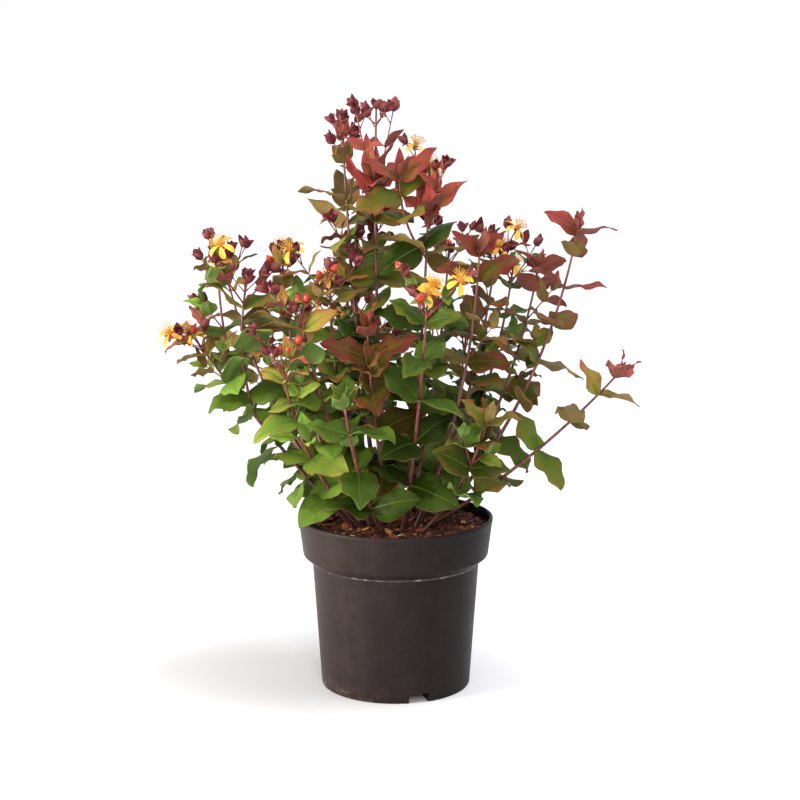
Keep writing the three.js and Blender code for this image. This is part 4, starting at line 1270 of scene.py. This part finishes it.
def add_berry(heaps, bloom):
    """A glossy berry that sits in a collar of spread sepals, with dry styles on its tip."""
    seed, root, along = bloom["seed"], bloom["root"], bloom["along"]
    scale = drawn(BERRY_SCALES, seed, 70)
    profile = egg_profile(BERRY_RADIUS * scale, BERRY_LENGTH * scale, 9, 0.1)
    shades = ["berry_base"] * 2 + ["berry"] * 7
    add_round(heaps["fruit"], root, along, profile, BERRY_SIDES, shades)
    tip = root + along * BERRY_TIP * scale
    for place in range(STYLE_COUNT):
        away = round_way(along, place / STYLE_COUNT * FULL_TURN)
        end = tip + unit(along + STYLE_LEAN * away) * STYLE_LENGTH
        add_tube(heaps["fruit"], [tip, end], [0.25, 0.15], 3, BLOOM_SHADE["style"])
    bend = (mix(0.0, 0.7, draw(seed, 71)), 0.5, 0.25)
    shades = ("sepal", "sepal_green", "sepal")
    add_sepals(heaps["buds"], bloom, SEPALS, BERRY_SEPAL, bend, shades)


def add_bud(heaps, bloom):
    """A maroon bud or young fruit that its pointed sepals hold like a tulip."""
    seed = bloom["seed"]
    scale = drawn(BUD_SCALES, seed, 72)
    profile = egg_profile(BUD_RADIUS * scale, BUD_LENGTH * scale, 7, 0.3)
    add_round(heaps["buds"], bloom["root"], bloom["along"], profile, BUD_SIDES, ["bud"] * 7)
    shades = ("bud", "sepal")
    if draw(seed, 73) < BUD_GREEN_CHANCE:
        shades = ("bud", "sepal", "bud", "sepal", "sepal_green")
    size = [side * scale for side in BUD_SEPAL]
    bend = (drawn(BUD_LEANS, seed, 74), -0.5, 0.8)
    add_sepals(heaps["buds"], bloom, BUD_SEPALS, size, bend, shades, tulip_share)


def add_flower(heaps, bloom):
    """Five round petals that bend back under a brush of stamens."""
    seed, root = bloom["seed"], bloom["root"]
    along = unit(bloom["along"] + UP * FLOWER_LIFT)
    first = draw(seed, 75) * 2
    back = drawn(PETAL_BENDS, seed, 76)
    for place in range(PETALS):
        turn = first + place / PETALS * FULL_TURN + sway(seed, 110 + place, 0.22)
        away = round_way(along, turn)
        size = FLOWER_RADIUS * mix(0.92, 1.05, draw(seed, 116 + place))
        shade = "petal" if draw(seed, 122 + place) < 1 - DEEP_PETAL_SHARE else "petal_deep"
        rise = 0.25 + sway(seed, 128 + place, PETAL_SWAY)
        bend = (rise, back + sway(seed, 134 + place, PETAL_SWAY), 0.5)
        petal_root = root + along * 2 + away * 0.8
        add_blade(
            heaps["petals"], petal_root, away, along, (size, size * PETAL_WIDTH), bend, shade,
            PETAL_GRID, petal_share,
        )
    for place in range(STAMENS):
        spread = mix(*STAMEN_SPREADS, math.sqrt((place + 0.5) / STAMENS))
        spread += sway(seed, 140 + place, 0.1)
        away = round_way(along, place * STAMEN_TURN)
        way = unit(along * math.cos(spread) + away * math.sin(spread))
        length = drawn(STAMEN_LENGTHS, seed, 190 + place)
        start = root + along * 2.2
        middle = start + way * length * 0.5 + along * 0.8
        points = [start, middle, start + way * length + along * 0.5]
        add_tube(heaps["petals"], points, STAMEN_RADII, 3, BLOOM_SHADE["stamen"])
        add_round(heaps["petals"], points[-1], along, ANTHER_PROFILE, 4, ["anther"] * 2)
    profile = egg_profile(OVARY_RADIUS, OVARY_LENGTH, 6, 0.2)
    add_round(heaps["fruit"], root + along, along, profile, 10, ["berry_base"] * 6)
    bend = (0.15, 0.3, 0.2)
    add_sepals(heaps["buds"], bloom, SEPALS, FLOWER_SEPAL, bend, ("sepal_green", "sepal"))


# The pot and its soil

def inner_radius(height):
    """The pot's inner radius at a height, from its foot to its rim."""
    heights = (0, BODY_TOP_HEIGHT, COLLAR_FOOT_HEIGHT, POT_HEIGHT)
    radii = (FOOT_RADIUS, BODY_TOP_RADIUS, COLLAR_FOOT_RADIUS, RIM_RADIUS)
    return float(np.interp(height, heights, radii)) - WALL


def rounded(corners):
    """An outline whose corners are rounded, with straight sides between them."""
    corners = [np.array(corner, float) for corner in corners]
    line = [corners[0]]
    for before, corner, after in zip(corners, corners[1:], corners[2:]):
        back, on = before - corner, after - corner
        reach = min(EDGE_RADIUS, 0.45 * np.linalg.norm(back), 0.45 * np.linalg.norm(on))
        start, end = corner + unit(back) * reach, corner + unit(on) * reach
        for step in range(EDGE_STEPS + 1):
            share = step / EDGE_STEPS
            first, last = mix(start, corner, share), mix(corner, end, share)
            line.append(mix(first, last, share))
    return [*line, corners[-1]]


def make_pot():
    lip_inner = RIM_RADIUS - LIP_WALL
    lip_foot = POT_HEIGHT - LIP_HEIGHT
    inside = (POT_HEIGHT - 2 * LIP_HEIGHT, COLLAR_FOOT_HEIGHT, BODY_TOP_HEIGHT, FLOOR_THICKNESS)
    outline = rounded([
        (AXIS_RADIUS, 0), (FOOT_RADIUS, 0), (BODY_TOP_RADIUS, BODY_TOP_HEIGHT),
        (COLLAR_FOOT_RADIUS, COLLAR_FOOT_HEIGHT), (RIM_RADIUS - LIP_OVERHANG, lip_foot),
        (RIM_RADIUS, lip_foot + 1), (RIM_RADIUS, POT_HEIGHT), (lip_inner, POT_HEIGHT),
        (lip_inner, lip_foot), *((inner_radius(height), height) for height in inside),
        (AXIS_RADIUS, FLOOR_THICKNESS),
    ])
    points = np.concatenate([level_ring(radius, height, POT_SIDES) for radius, height in outline])
    heights = np.array([height for radius, height in outline])
    middles = (heights[1:] + heights[:-1]) / 2
    outside = np.arange(len(middles)) < np.argmax(heights)
    scuffed = outside & (np.abs(middles - BODY_TOP_HEIGHT) < SCUFF_REACH)
    faces = grid_faces(len(outline), POT_SIDES, closed=True)
    looks = [pot_material(), scuff_material()]
    pot = make_mesh("pot_body", points, faces, np.repeat(scuffed, POT_SIDES), looks)
    cut_notches(pot)
    return pot


def cut_notches(pot):
    """Drain notches cut through the foot by boxes, which are then removed."""
    length = FOOT_RADIUS - NOTCH_REACH + NOTCH_OVERCUT
    for place in range(NOTCH_COUNT):
        bearing = FIRST_NOTCH_BEARING + place * 360 / NOTCH_COUNT
        bpy.ops.mesh.primitive_cube_add(size=1)
        cutter = bpy.context.object
        cutter.scale = (length * MM, NOTCH_WIDTH * MM, 2 * NOTCH_HEIGHT * MM)
        cutter.location = around_axis(bearing, (NOTCH_REACH + length / 2) * MM, 0)
        cutter.rotation_euler = (0, 0, math.radians(bearing))
        cut = pot.modifiers.new("notch", "BOOLEAN")
        cut.operation = "DIFFERENCE"
        cut.solver = "EXACT"
        cut.object = cutter
        bpy.context.view_layer.objects.active = pot
        bpy.ops.object.modifier_apply(modifier=cut.name)
        bpy.data.objects.remove(cutter)
    bpy.ops.object.select_all(action="DESELECT")
    pot.select_set(True)
    bpy.context.view_layer.objects.active = pot
    bpy.ops.object.shade_smooth_by_angle(angle=math.radians(SMOOTH_BELOW))


def soil_height(x, y):
    """The soil's level at a place, in slow mounds and ripples that fade at the wall."""
    mound = MOUND_HEIGHT * math.sin(x * 0.06 + 1.3) * math.cos(y * 0.07)
    ripple = RIPPLE_HEIGHT * math.sin(x * 0.19) * math.sin(y * 0.17 + 0.5)
    inward = max(0.0, 1 - (math.hypot(x, y) / 90) ** 4)
    return SOIL_LEVEL - BED_DROP + (mound + ripple) * inward


def make_soil_bed():
    edge = inner_radius(SOIL_LEVEL) - SOIL_CLEARANCE
    rings = []
    for number in range(SOIL_RINGS + 1):
        ring = level_ring(edge * number / SOIL_RINGS + BED_CENTRE, 0.0, SOIL_SIDES)
        for turn, place in enumerate(ring):
            grit = draw(number * 7 + 1, turn) - 0.5 if number < SOIL_RINGS else 0.0
            place[2] = soil_height(place[0], place[1]) + grit * SOIL_GRIT
        rings.append(ring)
    bottom = FLOOR_THICKNESS + 1
    for height in (BODY_TOP_HEIGHT, bottom):
        rings.append(level_ring(inner_radius(height) - SKIRT_CLEARANCE, height, SOIL_SIDES))
    centre = []
    for turn in range(SOIL_SIDES):
        centre.append((BED_CENTRE * math.cos(turn), BED_CENTRE * math.sin(turn), bottom))
    rings.append(centre)
    faces = grid_faces(len(rings), SOIL_SIDES, closed=True)
    looks = [wood_material("loam", *LOAM_COLOURS)]
    return make_mesh("soil_bed", np.concatenate(rings), faces, np.zeros(len(faces)), looks)


CUBE = np.array([[x, y, z] for x in (-1, 1) for y in (-1, 1) for z in (-1, 1)], float)
CUBE_FACES = np.array(
    [[0, 1, 3, 2], [4, 6, 7, 5], [0, 4, 5, 1], [2, 3, 7, 6], [0, 2, 6, 4], [1, 5, 7, 3]]
)


def turn_matrix(angle, first, second):
    """The turn by an angle from one of the three axes towards another."""
    matrix = np.eye(3)
    matrix[first, first] = matrix[second, second] = math.cos(angle)
    matrix[second, first] = math.sin(angle)
    matrix[first, second] = -math.sin(angle)
    return matrix


def scatter_chips(heap):
    """Bark chips and fibres that lie over the soil, each a small bent block."""
    widest = inner_radius(SOIL_LEVEL) - 4
    for chip in range(CHIP_COUNT + FIBRE_COUNT):
        distance = widest * math.sqrt(draw(chip, 1))
        bearing = draw(chip, 2) * FULL_TURN
        x, y = distance * math.cos(bearing), distance * math.sin(bearing)
        if chip >= CHIP_COUNT:
            size = [drawn(FIBRE_LENGTHS, chip, 3), FIBRE_WIDTH, FIBRE_THICKNESS]
        else:
            long = mix(*CHIP_LENGTHS, draw(chip, 3) ** 2.2)
            width = long * drawn(CHIP_WIDTH_SHARES, chip, 4)
            size = [long, width, drawn(CHIP_THICKNESSES, chip, 5)]
        size[0] = min(size[0], max(1.2, widest + 3 - distance))
        ragged = np.array([draw(chip, 10 + number) for number in range(24)]).reshape(8, 3) - 0.5
        points = CUBE * size * (1 + CHIP_RAGGEDNESS * ragged)
        bend = CHIP_BEND * (1 if draw(chip, 6) > 0.5 else -1)
        points[:, 2] += bend * points[:, 0] ** 2 / max(size[0], 1)
        turn, tip = draw(chip, 7) * FULL_TURN, sway(chip, 8, CHIP_LEAN)
        turning = turn_matrix(turn, 0, 1) @ turn_matrix(tip, 2, 0)
        height = soil_height(x, y) + size[2] * 0.5 + 0.3 * abs(math.sin(tip)) * size[0]
        shade = int(draw(chip, 9) ** CHIP_DARKNESS * len(CHIP_COLOURS))
        heap.add(points @ turning.T + np.array([x, y, height]), CUBE_FACES, shade)


# Making the pieces

def build_plant():
    masses = grow_plant()
    heaps = {name: Heap() for name in ("stems", "twigs", "petals", "fruit", "buds")}
    add_kind = {"flower": add_flower, "berry": add_berry, "bud": add_bud}
    for plan in masses.values():
        for points, radii in plan["stems"]:
            add_tube(heaps["stems"], points, radii, STEM_SIDES, ridge=STEM_RIDGE)
        for points, radii in plan["twigs"]:
            add_tube(heaps["twigs"], points, radii, TWIG_SIDES)
        for bloom in plan["blooms"]:
            add_kind[bloom["kind"]](heaps, bloom)
    stem_looks = [stem_material("stem_red", "361612", "622822", "915246")]
    twig_looks = [stem_material("twig_red", "461a16", "702c26", "95503f")]
    heaps["stems"].piece("stems", stem_looks, "stem_bark", [f"stem_{name}" for name in masses])
    heaps["twigs"].piece("twigs", twig_looks, "stem_bark", [f"foliage_{name}" for name in masses])
    dress_with_leaves([leaf for plan in masses.values() for leaf in plan["leaves"]])
    looks = []
    for name, colour in BLOOM_COLOURS.items():
        if name.startswith("berry"):
            looks.append(berry_material(name, colour, 0.24 if name == "berry_base" else 0.16))
        elif name in ("bud", "sepal", "sepal_green"):
            looks.append(leaf_material(name, colour, 0.36 if name == "bud" else 0.4))
        else:
            looks.append(petal_material(name, colour))
    heaps["petals"].piece("petals", looks, "petal")
    heaps["fruit"].piece("berries", looks, "berry")
    heaps["buds"].piece("buds", looks, "bud")


def dress_with_leaves(leaves):
    """Place the leaves, main ones first, and make their pieces by kind."""
    filled = set()
    kinds = {}
    for leaf in sorted(leaves, key=lambda leaf: leaf["fine"]):
        placed = settled(leaf, filled)
        if placed:
            kinds.setdefault(leaf_kind(placed), []).append(placed)
    looks = [leaf_material(name, colour) for name, colour in leaf_colours().items()]
    for kind, placed in kinds.items():
        for part, first in enumerate(range(0, len(placed), LEAVES_IN_PIECE)):
            heap = Heap()
            for leaf in placed[first:first + LEAVES_IN_PIECE]:
                add_leaf_mesh(heap, leaf)
            heap.piece(f"leaves_{kind}_{part + 1}", looks, f"leaf_{kind}")


def build_pot():
    hand_over(make_pot(), ["pot"])
    hand_over(make_soil_bed(), ["soil"])
    chips = Heap()
    scatter_chips(chips)
    looks = [wood_material(name, *colours) for name, colours in CHIP_COLOURS.items()]
    chips.piece("bark_chips", looks, "potting_mix", smooth=False)


# Studio

def add_light(name, kind, place, target, energy, **settings):
    """A lamp that shines from its place at a target."""
    light = bpy.data.lights.new(name, kind)
    light.energy = energy
    for key, value in settings.items():
        setattr(light, key, value)
    lamp = bpy.data.objects.new(name, light)
    bpy.context.scene.collection.objects.link(lamp)
    lamp.location = place
    x, y, z = np.array(place, float) - np.array(target, float)
    lamp.rotation_euler = (math.atan2(math.hypot(x, y), z), 0, math.atan2(x, -y))


def build_studio():
    scene = bpy.context.scene
    scene.view_settings.view_transform = "Standard"
    scene.world = bpy.data.worlds.new("studio")
    scene.world.use_nodes = True
    background = scene.world.node_tree.nodes["Background"]
    background.inputs["Color"].default_value = (1, 1, 1, 1)
    background.inputs["Strength"].default_value = 1.0
    bpy.ops.mesh.primitive_plane_add(size=FLOOR_SIZE)
    floor = bpy.context.object
    floor.name = "floor"
    shader = Shader("floor", FLOOR_COLOUR)
    shader.rough(shader.ramp(shader.noise(shader.place(), 40.0), 0.85, 0.95))
    shader.dull(0.0)
    floor.data.materials.append(shader.material)
    softness = math.radians(SUN_SOFTNESS)
    add_light("sun", "SUN", SUN_PLACE, (0, 0, 0), SUN_STRENGTH, angle=softness)
    for name, lamp in LAMPS.items():
        add_light(name, "AREA", **lamp, shape="DISK", color=LAMP_COLOUR)
    camera_data = bpy.data.cameras.new("camera")
    camera_data.lens = CAMERA_LENS
    camera_data.sensor_width = SENSOR_WIDTH
    camera = bpy.data.objects.new("camera", camera_data)
    scene.collection.objects.link(camera)
    camera.location = CAMERA_PLACE
    camera.rotation_euler = (math.radians(90 + CAMERA_PITCH), 0, 0)
    scene.camera = camera


build_studio()
build_pot()
build_plant()
